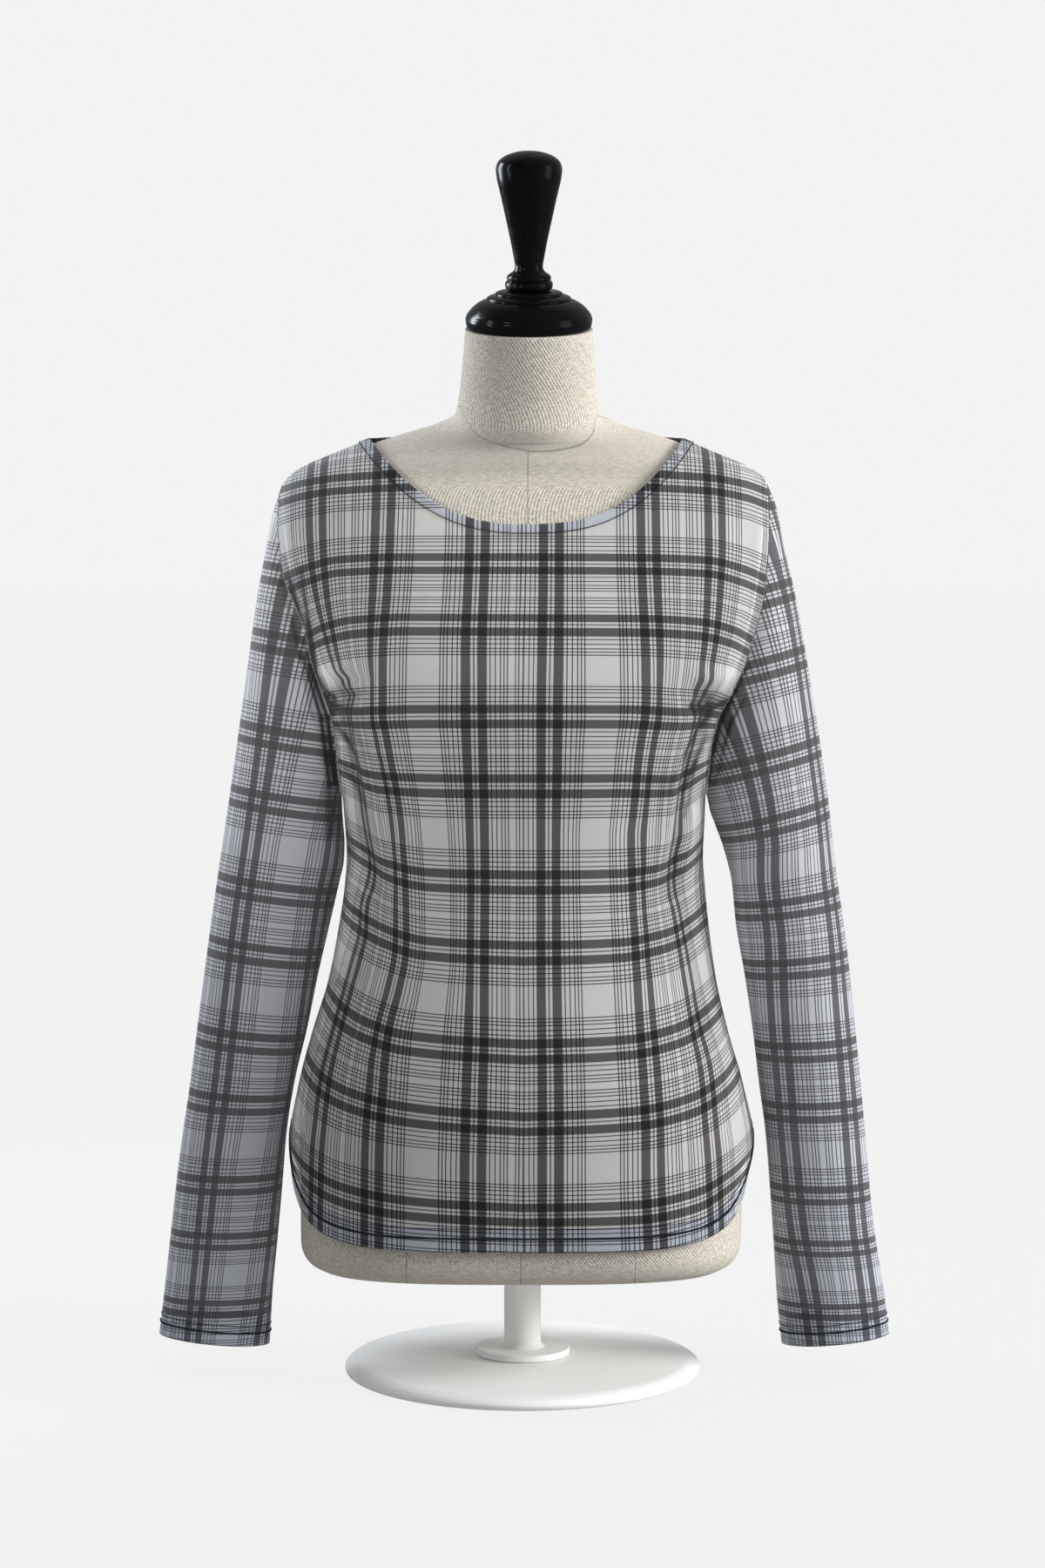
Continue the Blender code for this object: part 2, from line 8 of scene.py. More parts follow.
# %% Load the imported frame
import json
from collections import namedtuple
from math import pi, radians, tan

import bmesh
import bpy
import numpy as np
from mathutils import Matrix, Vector

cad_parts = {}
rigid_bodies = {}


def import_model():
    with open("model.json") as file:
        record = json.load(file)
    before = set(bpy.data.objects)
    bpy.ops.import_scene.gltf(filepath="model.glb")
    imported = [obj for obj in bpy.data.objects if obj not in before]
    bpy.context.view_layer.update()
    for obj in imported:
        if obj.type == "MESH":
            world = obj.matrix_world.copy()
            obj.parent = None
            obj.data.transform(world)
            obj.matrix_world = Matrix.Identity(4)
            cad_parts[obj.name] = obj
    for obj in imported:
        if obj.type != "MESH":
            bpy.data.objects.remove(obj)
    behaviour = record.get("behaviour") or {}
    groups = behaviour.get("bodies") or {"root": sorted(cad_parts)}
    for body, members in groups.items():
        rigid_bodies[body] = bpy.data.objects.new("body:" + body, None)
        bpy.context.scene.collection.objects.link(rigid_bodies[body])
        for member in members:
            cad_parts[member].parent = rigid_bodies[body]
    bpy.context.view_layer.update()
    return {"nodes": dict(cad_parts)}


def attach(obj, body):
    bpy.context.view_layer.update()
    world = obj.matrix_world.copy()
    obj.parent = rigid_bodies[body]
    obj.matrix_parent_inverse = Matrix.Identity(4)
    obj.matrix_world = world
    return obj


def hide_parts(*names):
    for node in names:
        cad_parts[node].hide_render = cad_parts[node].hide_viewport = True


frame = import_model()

MM = 0.001
print("packed nodes:", len(frame["nodes"]))

# %% [markdown]
# ## Objects and node trees
# Each finish, and the studio's light as well, is a small tree of nodes. One helper adds a node
# with its settings and its inputs, which are numbers or other nodes' sockets, so a tree reads as
# a list of steps. The finishes all stand around one Principled shader.

# %% Helpers for objects and nodes

def in_scene(name, data):
    """A new object in the scene, unturned and at the origin."""
    made = bpy.data.objects.new(name, data)
    bpy.context.scene.collection.objects.link(made)
    return made


def step(tree, kind, inputs=(), **settings):
    """One node. inputs are numbers to set or sockets to link, in the node's own order or by name."""
    made = tree.nodes.new(kind)
    for setting, value in settings.items():
        setattr(made, setting, value)
    named = inputs if isinstance(inputs, dict) else dict(enumerate(inputs))
    for socket, value in named.items():
        if isinstance(value, bpy.types.NodeSocket):
            tree.links.new(value, made.inputs[socket])
        elif value is not None:
            made.inputs[socket].default_value = value
    return made


def maths(tree, operation, *inputs):
    return step(tree, "ShaderNodeMath", inputs, operation=operation).outputs[0]


def split(tree, vector):
    return step(tree, "ShaderNodeSeparateXYZ", [vector]).outputs


def ranged(tree, value, low, high, to_low, to_high):
    """A value that goes from to_low to to_high while the given one goes from low to high."""
    return step(tree, "ShaderNodeMapRange", [value, low, high, to_low, to_high]).outputs[0]


# %% Helpers for finishes

def noise(tree, where, scale, detail=2.0, stretch=(1, 1, 1)):
    """Cloudy grey noise on a coordinate, stretched along its axes."""
    placed = step(tree, "ShaderNodeMapping", [where, None, None, stretch]).outputs[0]
    return step(tree, "ShaderNodeTexNoise", {"Vector": placed, "Scale": scale, "Detail": detail}).outputs[0]


def blend_colours(tree, share, first, second, mode="MIX"):
    """Mix two colours. Each is a tuple or a socket, and share is a number or a socket."""
    inputs = {0: share}
    for number, value in ((6, first), (7, second)):
        inputs[number] = (*value, 1) if isinstance(value, tuple) else value
    return step(tree, "ShaderNodeMix", inputs, data_type="RGBA", blend_type=mode).outputs[2]


def new_finish(name, colour, roughness, **shader_values):
    """A material with one Principled shader. Returns the material, its tree and the shader."""
    finish = bpy.data.materials.new(name)
    finish.use_nodes = True
    shader = finish.node_tree.nodes["Principled BSDF"]
    shader.inputs["Base Color"].default_value = (*colour, 1)
    shader.inputs["Roughness"].default_value = roughness
    for socket, value in shader_values.items():
        shader.inputs[socket.replace("_", " ")].default_value = value
    return finish, finish.node_tree, shader


def relief(tree, shader, height, strength, distance):
    """Bump from a height socket."""
    bump = step(tree, "ShaderNodeBump", {"Strength": strength, "Distance": distance, "Height": height})
    tree.links.new(bump.outputs[0], shader.inputs["Normal"])


# %% [markdown]
# ## Camera and studio
# The camera stands 2.6 metres away and looks slightly down, so its lens is a long one.
# It is a white studio: the backdrop and the floor are equally pale and give off light of their
# own. The key comes from the wearer's left, nearly square to the body, so the form turns darker
# past its middle. A weak fill and a soft spot on the right of the bust keep that shade open, and
# a lamp behind the right shoulder brings its edge out again. A round object in black gloss shows
# little but what it mirrors, so two strip lamps draw the streaks down the handle and light
# nothing else.

# %% The camera
CAMERA_DISTANCE = 2.6
CAMERA_HEIGHT = 0.62
CAMERA_PITCH = radians(3.776)
CAMERA_LENS = 78.96

lens = bpy.data.cameras.new("camera")
lens.lens = CAMERA_LENS
lens.sensor_width = 36.0
lens.clip_end = 200.0
camera = in_scene("camera", lens)
camera.location = (0, -CAMERA_DISTANCE, CAMERA_HEIGHT)
camera.rotation_euler = (pi / 2 - CAMERA_PITCH, 0, 0)
bpy.context.scene.camera = camera
bpy.context.scene.view_settings.view_transform = "Standard"
print("camera:", CAMERA_LENS, "mm lens")

# %% The sky and the floor
PALE_BACKDROP = 0.896
SKY_TINT = (0.95, 0.97, 1.0, 1)
SKY_IN_FRONT = 0.43
SKY_BEHIND = 1.2
FLOOR_REACH = 60.0
FLOOR_GLOW = 0.83
FLOOR_BOUNCE = 0.35
GLOSS_SHARE = 0.2


def weaker_in_gloss(tree, strength):
    """The same strength, but less of it in what gloss mirrors, or black edges would turn white."""
    in_gloss = step(tree, "ShaderNodeLightPath").outputs["Is Glossy Ray"]
    return maths(tree, "MULTIPLY", strength, ranged(tree, in_gloss, 0, 1, 1, GLOSS_SHARE))


def add_sky():
    """Pale for the camera. As a light it is dim in front and bright behind, as in a white studio."""
    world = bpy.data.worlds.new("studio")
    world.use_nodes = True
    bpy.context.scene.world = world
    tree = world.node_tree
    tree.nodes.clear()
    to_back = split(tree, step(tree, "ShaderNodeTexCoord").outputs["Generated"])[1]
    strength = weaker_in_gloss(tree, ranged(tree, to_back, 0.1, 0.5, SKY_IN_FRONT, SKY_BEHIND))
    given = step(tree, "ShaderNodeBackground", [SKY_TINT, strength]).outputs[0]
    seen = step(tree, "ShaderNodeBackground", [(PALE_BACKDROP, PALE_BACKDROP, PALE_BACKDROP, 1)]).outputs[0]
    for_camera = step(tree, "ShaderNodeLightPath").outputs["Is Camera Ray"]
    chosen = step(tree, "ShaderNodeMixShader", [for_camera, given, seen]).outputs[0]
    step(tree, "ShaderNodeOutputWorld", [chosen])


def add_floor():
    mesh = bpy.data.meshes.new("floor")
    near, far = -FLOOR_REACH, FLOOR_REACH
    mesh.from_pydata([(near, near, 0), (far, near, 0), (far, far, 0), (near, far, 0)], [], [(0, 1, 2, 3)])
    paper, tree, shader = new_finish("pale paper", (0.05, 0.05, 0.05), 0.9, Specular_IOR_Level=0.0,
                                     Emission_Color=(1, 1, 1, 1))
    for_camera = step(tree, "ShaderNodeLightPath").outputs["Is Camera Ray"]
    glow = ranged(tree, for_camera, 0, 1, FLOOR_BOUNCE, FLOOR_GLOW)
    tree.links.new(weaker_in_gloss(tree, glow), shader.inputs["Emission Strength"])
    mesh.materials.append(paper)
    in_scene("floor", mesh)


add_sky()
add_floor()
print("floor, m across:", 2 * FLOOR_REACH)

# %% The lamps
SUN_SPREAD = radians(30)
STRIP_LENGTH = 1.4
STRIP_TARGET = (0, 0, 0.85)


def add_lamp(name, kind, strength, place=(0, 0, 0), target=None, **settings):
    """A lamp of one kind. If it has a target, it looks there from its place."""
    lamp = bpy.data.lights.new(name, kind)
    lamp.energy = strength
    for setting, value in settings.items():
        setattr(lamp, setting, value)
    made = in_scene(name, lamp)
    made.location = place
    if target:
        made.rotation_euler = (made.location - Vector(target)).to_track_quat("Z", "Y").to_euler()
    return made


def add_sun(name, strength, turn, tilt):
    """A broad lamp. It stands turn degrees round to the wearer's left and tilt degrees up."""
    made = add_lamp(name, "SUN", strength, angle=SUN_SPREAD)
    made.rotation_euler = (pi / 2 - radians(tilt), 0, radians(turn))
    made.visible_glossy = False


def add_gloss_strip(name, watts, width, place):
    """An upright strip lamp that only shows as a streak on glossy things."""
    made = add_lamp(name, "AREA", watts, place, STRIP_TARGET, shape="RECTANGLE", size=width,
                    size_y=STRIP_LENGTH)
    made.visible_diffuse = False
    made.visible_transmission = False


add_sun("key from the left", 3.8, 78, 21)
add_sun("weak fill from the left", 0.25, 60, 50)
add_lamp("lamp behind the right shoulder", "AREA", 10, (-0.9, 0.5, 1.1), (0, 0, 0.82),
         shape="RECTANGLE", size=0.3, size_y=0.8, color=(0.82, 0.90, 1.0))
add_gloss_strip("streak down the right of the handle", 3, 0.16, (-1.3, -0.35, 1.1))
add_gloss_strip("soft streak down its left", 3, 0.6, (1.4, -0.5, 1.0))
add_lamp("spot on the right of the bust", "SPOT", 22, (-0.75, -0.95, 0.80), (-0.095, -0.12, 0.54),
         spot_size=radians(30), spot_blend=1.0, shadow_soft_size=0.12)
print("studio lamps:", len(bpy.data.lights))

# %% [markdown]
# ## Curves through a table
# Every form here is measured at a few heights. A row of numbers for each height, with a smooth
# curve through the rows, is how a pattern cutter's block is kept, and it is easy to correct.
# The curve is monotone: it never swings past the numbers that it is given.

# %% Smooth reading of a table

def table(kind, rows):
    """Plain rows of numbers, with the column names of one kind of row."""
    return [kind(*row) for row in rows]


def smooth_through(heights, values, at):
    """Read values at some heights from a smooth curve that never overshoots its points."""
    heights, values, at = (np.asarray(numbers, float) for numbers in (heights, values, at))
    steps = np.diff(heights)
    slopes = np.diff(values) / steps
    tangents = np.zeros_like(values)
    weight0 = 2 * steps[1:] + steps[:-1]
    weight1 = steps[1:] + 2 * steps[:-1]
    same_way = slopes[:-1] * slopes[1:] > 0
    safe0 = np.where(same_way, slopes[:-1], 1)
    safe1 = np.where(same_way, slopes[1:], 1)
    tangents[1:-1] = np.where(same_way, (weight0 + weight1) / (weight0 / safe0 + weight1 / safe1), 0)
    tangents[0], tangents[-1] = slopes[0], slopes[-1]
    place = np.clip(np.searchsorted(heights, at) - 1, 0, len(steps) - 1)
    step = steps[place]
    t = np.clip((at - heights[place]) / step, 0, 1)
    low = values[place] * (2 * t**3 - 3 * t**2 + 1) + step * tangents[place] * (t**3 - 2 * t**2 + t)
    high = values[place + 1] * (3 * t**2 - 2 * t**3) + step * tangents[place + 1] * (t**3 - t**2)
    return low + high


def read(table, column, heights):
    """One named column of a table at the given heights."""
    known = [row.height for row in table]
    return smooth_through(known, [getattr(row, column) for row in table], heights)


def dense(table, steps):
    """The same table with several rows for each of its own, as one row of arrays."""
    known = np.arange(len(table))
    wanted = np.linspace(0, len(table) - 1, steps * (len(table) - 1) + 1)
    columns = [[row[number] for row in table] for number in range(len(table[0]))]
    return type(table[0])(*(smooth_through(known, column, wanted) for column in columns))


# %% Meshes from grids

def grid_faces(rows, columns, closed):
    """Four-sided faces between the points of a grid, row by row, upwards."""
    low, column = np.meshgrid(np.arange(rows - 1) * columns, np.arange(columns - 1 + closed), indexing="ij")
    after = (column + 1) % columns
    corners = [low + column, low + after, low + columns + after, low + columns + column]
    return np.stack(corners, axis=-1).reshape(-1, 4).tolist()


def smooth_mesh(name, points, faces, material):
    """A smooth-shaded mesh from points in mm."""
    mesh = bpy.data.meshes.new(name)
    mesh.from_pydata((points * MM).tolist(), [], faces)
    mesh.update()
    mesh.shade_smooth()
    mesh.materials.append(material)
    return mesh


def add_map(mesh, name, places):
    mesh.uv_layers.new(name=name).data.foreach_set("uv", places.ravel())


def grid_mesh(name, points, cut, material, closed=False):
    """A sheet from rows of points in mm. cut holds each point's place on the flat cloth.

    Two more numbers in cut, if there, give the point's painted shade and how cool it is, as where it lies
    double.
    """
    rows, columns = points.shape[:2]
    mesh = smooth_mesh(name, points.reshape(-1, 3), grid_faces(rows, columns, closed), material)
    row, column = np.meshgrid(np.arange(rows - 1), np.arange(columns - 1 + closed), indexing="ij")
    corners = [(row, column), (row, column + 1), (row + 1, column + 1), (row + 1, column)]
    places = np.stack([cut[corner] for corner in corners], axis=2).reshape(-1, cut.shape[2])
    add_map(mesh, "cloth_cut", places[:, :2] * MM)
    if cut.shape[2] > 2:
        add_map(mesh, "cloth_tone", places[:, 2:])
    return in_scene(name, mesh)


def report(obj):
    """Print what was made, and hand it on."""
    triangles = sum(len(face.vertices) - 2 for face in obj.data.polygons)
    area = sum(face.area for face in obj.data.polygons)
    print(f"{obj.name}: {triangles} triangles, {area:.4f} square metres")
    return obj


# %% [markdown]
# ## Plaid mesh
# The plaid is a sett, a list of yarns that turns back on itself. It runs the same way across and
# down. Each dark double stripe is two bands with two pale threads between, and thin dark lines
# stand beside it: two spaced ones and three close ones. Double stripes are alternately near and
# far apart. A folded distance finds the nearest one, and a ramp with hard steps paints the yarns.
# Warp and weft are multiplied, as thin cloth does where its dark yarns cross. Dark yarns also
# close the mesh, so they let less light through. A second map on the cloth carries painted shade:
# in creases and armpits it darkens the colour towards near-black and makes the mesh nearly opaque,
# standing in for the shade there. The map also makes the cloth cooler where it lies double and
# towards the sleeves' cuffs. The sleeves are empty, so their two layers are seen at once: their
# mesh is denser, their ground a little darker as painted shade, and their yarns lightened as
# painted light that comes through both layers.

# %% The plaid's sett, in millimetres
REPEAT = 130.4
NEAR_HALF = 27.8
SETT_REACH = 40.0
Yarn = namedtuple("Yarn", "start end kind")
SETT = table(Yarn, [
    (0.0, 0.6, "thread"),
    (2.35, 9.4, "band"),
    (11.45, 12.4, "line"), (15.25, 16.15, "line"),
    (19.05, 19.95, "line"), (21.65, 22.55, "line"), (24.15, 25.05, "line"),
])
WARP_SHADES = {"band": (0.120, 0.110, 0.118), "line": (0.13, 0.12, 0.15), "thread": (0.23, 0.22, 0.25)}
WEFT_SHADES = {"band": (0.120, 0.117, 0.115), "line": (0.13, 0.13, 0.14), "thread": (0.23, 0.23, 0.24)}
WHITE = (1, 1, 1)


def stripe_marks(first, last):
    """Where the double stripes lie on the flat cloth, from one repeat to another."""
    return np.array([repeat * REPEAT + side * NEAR_HALF
                     for repeat in range(first, last + 1) for side in (-1, 1)])


def yarn_colours(tree, across, shades):
    """Colour of the yarns of one direction, from a coordinate in metres."""
    in_mm = maths(tree, "MULTIPLY", across, 1 / MM)
    folded = maths(tree, "PINGPONG", in_mm, REPEAT / 2)
    from_pair = maths(tree, "ABSOLUTE", maths(tree, "SUBTRACT", folded, NEAR_HALF))
    ramp = step(tree, "ShaderNodeValToRGB", [maths(tree, "DIVIDE", from_pair, SETT_REACH)])
    ramp.color_ramp.interpolation = "CONSTANT"
    stops = ramp.color_ramp.elements
    stops.remove(stops[1])
    stops[0].color = (*shades["thread"], 1)
    for number, yarn in enumerate(SETT):
        if number > 0:
            stops.new(yarn.start / SETT_REACH).color = (*shades[yarn.kind], 1)
        stops.new(yarn.end / SETT_REACH).color = (*WHITE, 1)
    return ramp.outputs[0]


print("yarns in half a repeat:", len(SETT))

# %% The mesh of the top, its sleeves and its binding
DOUBLED_TONE = (0.82, 0.88, 0.98)
# Painted shade: the near-black that creases and armpits are darkened towards, and the cover they get.
PAINTED_FOLD_SHADE = (0.012, 0.012, 0.016)
DEEPEST_COVER = 0.98
WORN = 0.94


def plaid_finish(name, ground, open_share, closed_share, faded=0.0):
    """Sheer plaid cloth. The shares say how much of the light the pale and dark yarns stop."""
    finish, tree, shader = new_finish(name, ground, 0.72, Specular_IOR_Level=0.25,
                                      Sheen_Weight=0.12, Sheen_Roughness=0.5)
    cut = step(tree, "ShaderNodeUVMap", uv_map="cloth_cut").outputs[0]
    across, down, _ = split(tree, cut)
    warp, weft = yarn_colours(tree, across, WARP_SHADES), yarn_colours(tree, down, WEFT_SHADES)
    # Painted light: faded lightens the yarns, as if light came through them from behind.
    yarns = blend_colours(tree, faded, blend_colours(tree, 1.0, warp, weft, "MULTIPLY"), WHITE)
    worn = blend_colours(tree, noise(tree, cut, 22.0, 3.0), tuple(WORN * value for value in ground), ground)
    colour = blend_colours(tree, 1.0, worn, yarns, "MULTIPLY")
    tone = step(tree, "ShaderNodeUVMap", uv_map="cloth_tone").outputs[0]
    # Painted shade: depth darkens the colour towards near-black and raises the cover. doubled makes it
    # cooler.
    depth, doubled, _ = split(tree, tone)
    cooled = blend_colours(tree, 1.0, colour, blend_colours(tree, doubled, WHITE, DOUBLED_TONE), "MULTIPLY")
    tree.links.new(blend_colours(tree, depth, cooled, PAINTED_FOLD_SHADE), shader.inputs["Base Color"])
    lightness = step(tree, "ShaderNodeRGBToBW", [yarns]).outputs[0]
    cover = ranged(tree, lightness, 0.0, 1.0, closed_share, open_share)
    left_open = maths(tree, "SUBTRACT", DEEPEST_COVER, cover)
    tree.links.new(maths(tree, "MULTIPLY_ADD", left_open, depth, cover), shader.inputs["Alpha"])
    ribs = step(tree, "ShaderNodeTexWave", {"Vector": cut, "Scale": 260.0, "Distortion": 0.6},
                wave_type="BANDS", bands_direction="X")
    relief(tree, shader, ribs.outputs[1], 0.25, 0.00015)
    return finish


PLAID_MESH = plaid_finish("sheer plaid mesh", (0.735, 0.73, 0.725), 0.62, 0.94)
# The sleeves' copy of the cloth has a darker ground as painted shade, and lightened yarns as painted light
# coming through.
SLEEVE_MESH = plaid_finish("sheer plaid mesh of the sleeves", (0.70, 0.69, 0.71), 0.84, 0.87, 0.075)
BINDING_MESH = plaid_finish("doubled mesh of the binding", (0.52, 0.545, 0.59), 0.76, 0.95)
print("plaid cloths:", PLAID_MESH.name, "/", SLEEVE_MESH.name, "/", BINDING_MESH.name)

# %% [markdown]
# ## The body of the top: its shape
# The front and the back are each one sheet. Their outlines at a list of heights, their rows and
# their creases are the same tables that the solid parts were made from, read more finely here.

# %% Tables of the body
GAP = 0.3
ARMHOLE_BOTTOM = 440.0
ARMHOLE_TOP = 676.0
ARMHOLE_REACH = {"front": 46.0, "back": 54.0}
HEM_POWER = 3.7
NECK_POWER = {"right": 2.4, "left": 2.8}
FINE = 160
HALVINGS = 26
SIDES = {"right": -1, "left": 1}

BodyRing = namedtuple("BodyRing", "height right left front back roundness")
BODY_RINGS = table(BodyRing, [
    (100, 173.2, 169.5, 112, 114.5, 2.9), (125, 174.8, 170.2, 113, 115.5, 2.9),
    (150, 176.2, 172.0, 113.5, 116.5, 2.55), (180, 177.0, 175.5, 114, 117, 2.35),
    (220, 170.5, 168.0, 113, 115, 2.35), (260, 160.0, 156.5, 109.5, 108, 2.3),
    (300, 147.5, 147.2, 106, 98, 2.25), (340, 139.5, 141.5, 103, 90, 2.25),
    (370, 135.0, 138.5, 102, 87, 2.25), (395, 133.2, 136.8, 104, 88, 2.25),
    (420, 134.6, 137.8, 108, 92, 2.25), (450, 137.3, 139.0, 114, 97, 2.25),
    (482, 139.5, 141.5, 121.5, 102, 2.3), (500, 142.5, 146.0, 124, 104, 2.3),
    (520, 149.0, 156.5, 125, 106, 2.35), (540, 156.0, 165.0, 123.5, 107, 2.4),
    (565, 161.0, 172.5, 119, 106, 2.4), (585, 169.0, 178.0, 113.5, 104, 2.4),
    (605, 177.0, 180.5, 106.5, 101, 2.4), (625, 180.0, 182.5, 98, 97, 2.35),
    (645, 182.0, 183.5, 88, 92, 2.3), (662, 182.0, 184.0, 78.5, 86, 2.2),
    (676, 179.5, 183.5, 69, 79.5, 2.1), (687, 167.0, 172.0, 62, 73.5, 2.0),
    (698, 142.0, 146.5, 55.5, 66.5, 1.85), (707, 119.5, 125.0, 51.5, 61, 1.75),
    (714, 102.0, 107.5, 49, 57, 1.7), (720, 82.0, 88.0, 47, 55, 1.7),
])

PanelRow = namedtuple("PanelRow", "edge front_middle back_middle")
PANEL_ROWS = table(PanelRow, [
    (175.0, 112.0, 108.0), (190.0, 128.0, 124.0), (213.0, 156.0, 152.0),
    (241.0, 193.0, 190.0), (272.0, 234.0, 232.0), (304.0, 277.0, 275.0),
    (337.0, 318.0, 316.0), (369.0, 357.0, 355.0), (397.0, 388.0, 386.0),
    (420.0, 412.0, 413.0), (440.0, 433.0, 437.0), (460.0, 454.0, 460.0),
    (488.0, 478.0, 491.0), (521.0, 504.0, 526.0), (556.0, 530.0, 563.0),
    (591.0, 556.0, 599.0), (624.0, 580.0, 632.0), (650.0, 600.0, 660.0),
    (668.0, 614.0, 680.0), (676.0, 621.0, 690.0), (691.0, 629.0, 698.5),
    (705.8, 636.9, 707.0),
])
BELOW_BINDING = PanelRow(705.2, 635.6, 706.2)
BINDING_ROWS = table(PanelRow, [(706.0, 637.3, 707.4), (709.0, 644.0, 714.0)])
PAST_BINDING = PanelRow(712.0, 650.7, 720.6)
print("rings and rows of the body:", len(BODY_RINGS), len(PANEL_ROWS))

# %% The body's outline
ARMHOLE_MIDDLE = (ARMHOLE_BOTTOM + ARMHOLE_TOP) / 2
ARMHOLE_HALF = (ARMHOLE_TOP - ARMHOLE_BOTTOM) / 2


def soft(share):
    """From 0 to 1, level at both ends."""
    return share * share * (3 - 2 * share)


def travelled(points):
    """How far each point lies along its line, from the first point on."""
    lengths = np.linalg.norm(np.diff(points, axis=0), axis=-1)
    return np.concatenate([np.zeros_like(lengths[:1]), np.cumsum(lengths, axis=0)])


def armhole_reach(face, heights):
    """How far the armhole's edge stands before or behind the side plane: half an ellipse."""
    share = np.clip(1 - ((np.asarray(heights) - ARMHOLE_MIDDLE) / ARMHOLE_HALF)**2, 0, 1)
    return ARMHOLE_REACH[face] * np.sqrt(share)


def body_outline(side, face, heights):
    """Full half width, depth and roundness of the body's cross-section at the given heights."""
    edge, depth, roundness = (read(BODY_RINGS, column, heights) for column in (side, face, "roundness"))
    cut = (armhole_reach(face, heights) / depth)**roundness
    return edge / (1 - cut)**(1 / roundness), depth, roundness


print("armhole, mm:", ARMHOLE_TOP - ARMHOLE_BOTTOM, "high")

# %% Rows across the body

def half_rows(side, face, edge_heights, middle_heights):
    """Fine curves of all rows, from the middle of a panel to its edge on one side.

    A point's height depends on its place across, and the place on the height, so each point is
    found by halving.
    """
    share = np.linspace(0, 1, FINE + 1)
    edge_heights, middle_heights = edge_heights[:, None], middle_heights[:, None]
    full_width, _, roundness = body_outline(side, face, edge_heights)
    edge = read(BODY_RINGS, side, edge_heights)
    angle = share * np.arcsin(np.clip(edge / full_width, 0, 1)**(roundness / 2))
    upper = soft(np.clip((edge_heights - ARMHOLE_BOTTOM) / (ARMHOLE_TOP - ARMHOLE_BOTTOM), 0, 1))

    def heights_at(x):
        sweep = (1 - upper) * share**HEM_POWER + upper * (x / edge)**NECK_POWER[side]
        return middle_heights + (edge_heights - middle_heights) * np.clip(sweep, 0, 1)

    low, high = np.zeros_like(angle), np.zeros_like(angle) + edge
    for _ in range(HALVINGS):
        x = (low + high) / 2
        width, _, roundness = body_outline(side, face, heights_at(x))
        too_far = x > width * np.sin(angle)**(2 / roundness)
        high = np.where(too_far, x, high)
        low = np.where(too_far, low, x)
    x = (low + high) / 2
    x[:, -1] = edge[:, 0]
    heights = heights_at(x)
    width, depth, roundness = body_outline(side, face, heights)
    y = depth * np.clip(1 - np.clip(x / width, 0, 1)**roundness, 0, 1)**(1 / roundness)
    return np.stack([x, np.maximum(y, GAP / 2), heights], axis=2)


def even_columns(row, count):
    """Re-read a fine row at evenly spaced points."""
    known = travelled(row)
    wanted = np.linspace(0, known[-1], count + 1)
    return np.stack([np.interp(wanted, known, row[:, axis]) for axis in range(3)], axis=1)


def panel_points(face, rows, columns):
    """The smooth grid of one panel, rows upwards and columns anticlockwise from above."""
    middle = rows.front_middle if face == "front" else rows.back_middle
    right = half_rows("right", face, rows.edge, middle) * [-1, 1, 1]
    left = half_rows("left", face, rows.edge, middle)
    if face == "front":
        fine = np.concatenate([right[:, ::-1], left[:, 1:]], axis=1) * [1, -1, 1]
    else:
        fine = np.concatenate([left[:, ::-1], right[:, 1:]], axis=1)
    return np.stack([even_columns(row, columns) for row in fine])


def outward_normals(points, closed=False):
    """Outward normals of a grid: along each row, crossed with the way up."""
    if closed:
        along = np.roll(points, -1, axis=1) - np.roll(points, 1, axis=1)
    else:
        along = np.gradient(points, axis=1)
    normals = np.cross(along, np.gradient(points, axis=0))
    return normals / np.linalg.norm(normals, axis=2, keepdims=True)


# %% [markdown]
# ## Creases
# The top hangs from the shoulders and the bust, so its drag lines run out of the armpits and
# down to the waist. Each is a soft trough or ridge between two points, with faded ends. They are
# placed one by one, since real creases are uneven. Folds move the cloth mostly forwards or back,
# so its stripes stay in place. The troughs also get painted shade in the cloth's colour, and the
# armpits have a list of their own: lines of painted shade that darken the cloth and make it
# nearly opaque.

# %% Creases of the body
Fold = namedtuple("Fold", "x0 height0 x1 height1 width depth")
FRONT_FOLDS = table(Fold, [
    (-150, 513, -124, 517, 7, -5.5), (-156, 531, -134, 533, 8, 5.0),
    (-132, 500, -112, 380, 10, -4.5), (-120, 520, -108, 400, 9, 3.0),
    (-88, 400, -100, 250, 16, 2.5), (152, 511, 128, 514, 7, -6.0),
    (156, 529, 132, 530, 8, 5.5), (134, 498, 112, 372, 10, -5.0),
    (118, 500, 96, 395, 9, 4.0), (122, 380, 138, 270, 14, -3.0),
])
BACK_FOLDS = table(Fold, [
    (-136, 500, -96, 520, 12, -4.0), (140, 498, 98, 514, 12, -4.5),
    (-60, 430, -78, 290, 18, -3.5), (52, 440, 70, 270, 18, -4.0),
    (-6, 400, 4, 240, 20, 2.5), (110, 440, 124, 300, 14, -3.0),
])
FRONT_CREASES = table(Fold, [
    (-150, 518, -118, 520, 3.0, -2.2), (-140, 526, -120, 526, 3.5, 1.5),
    (-138, 500, -126, 462, 4.0, -1.8), (-126, 504, -116, 452, 4.0, 1.6),
    (-116, 500, -110, 440, 4.0, -1.4), (-104, 470, -92, 396, 5.0, -1.0),
    (-120, 396, -112, 330, 5.0, 1.2), (-108, 372, -118, 310, 4.0, -1.2),
    (-96, 330, -110, 262, 6.0, -1.2), (154, 514, 126, 510, 3.0, -2.6),
    (146, 521, 122, 518, 3.5, 2.0), (138, 504, 124, 462, 4.0, -2.0),
    (132, 486, 122, 440, 3.5, 1.6), (122, 474, 114, 396, 4.0, -1.8),
    (112, 462, 104, 400, 4.0, 1.6), (100, 452, 94, 388, 4.0, -1.4),
    (90, 444, 86, 392, 4.0, 1.2), (128, 430, 122, 388, 4.0, 1.6),
    (112, 372, 126, 300, 5.0, 1.0), (90, 384, 96, 320, 6.0, -0.8),
])
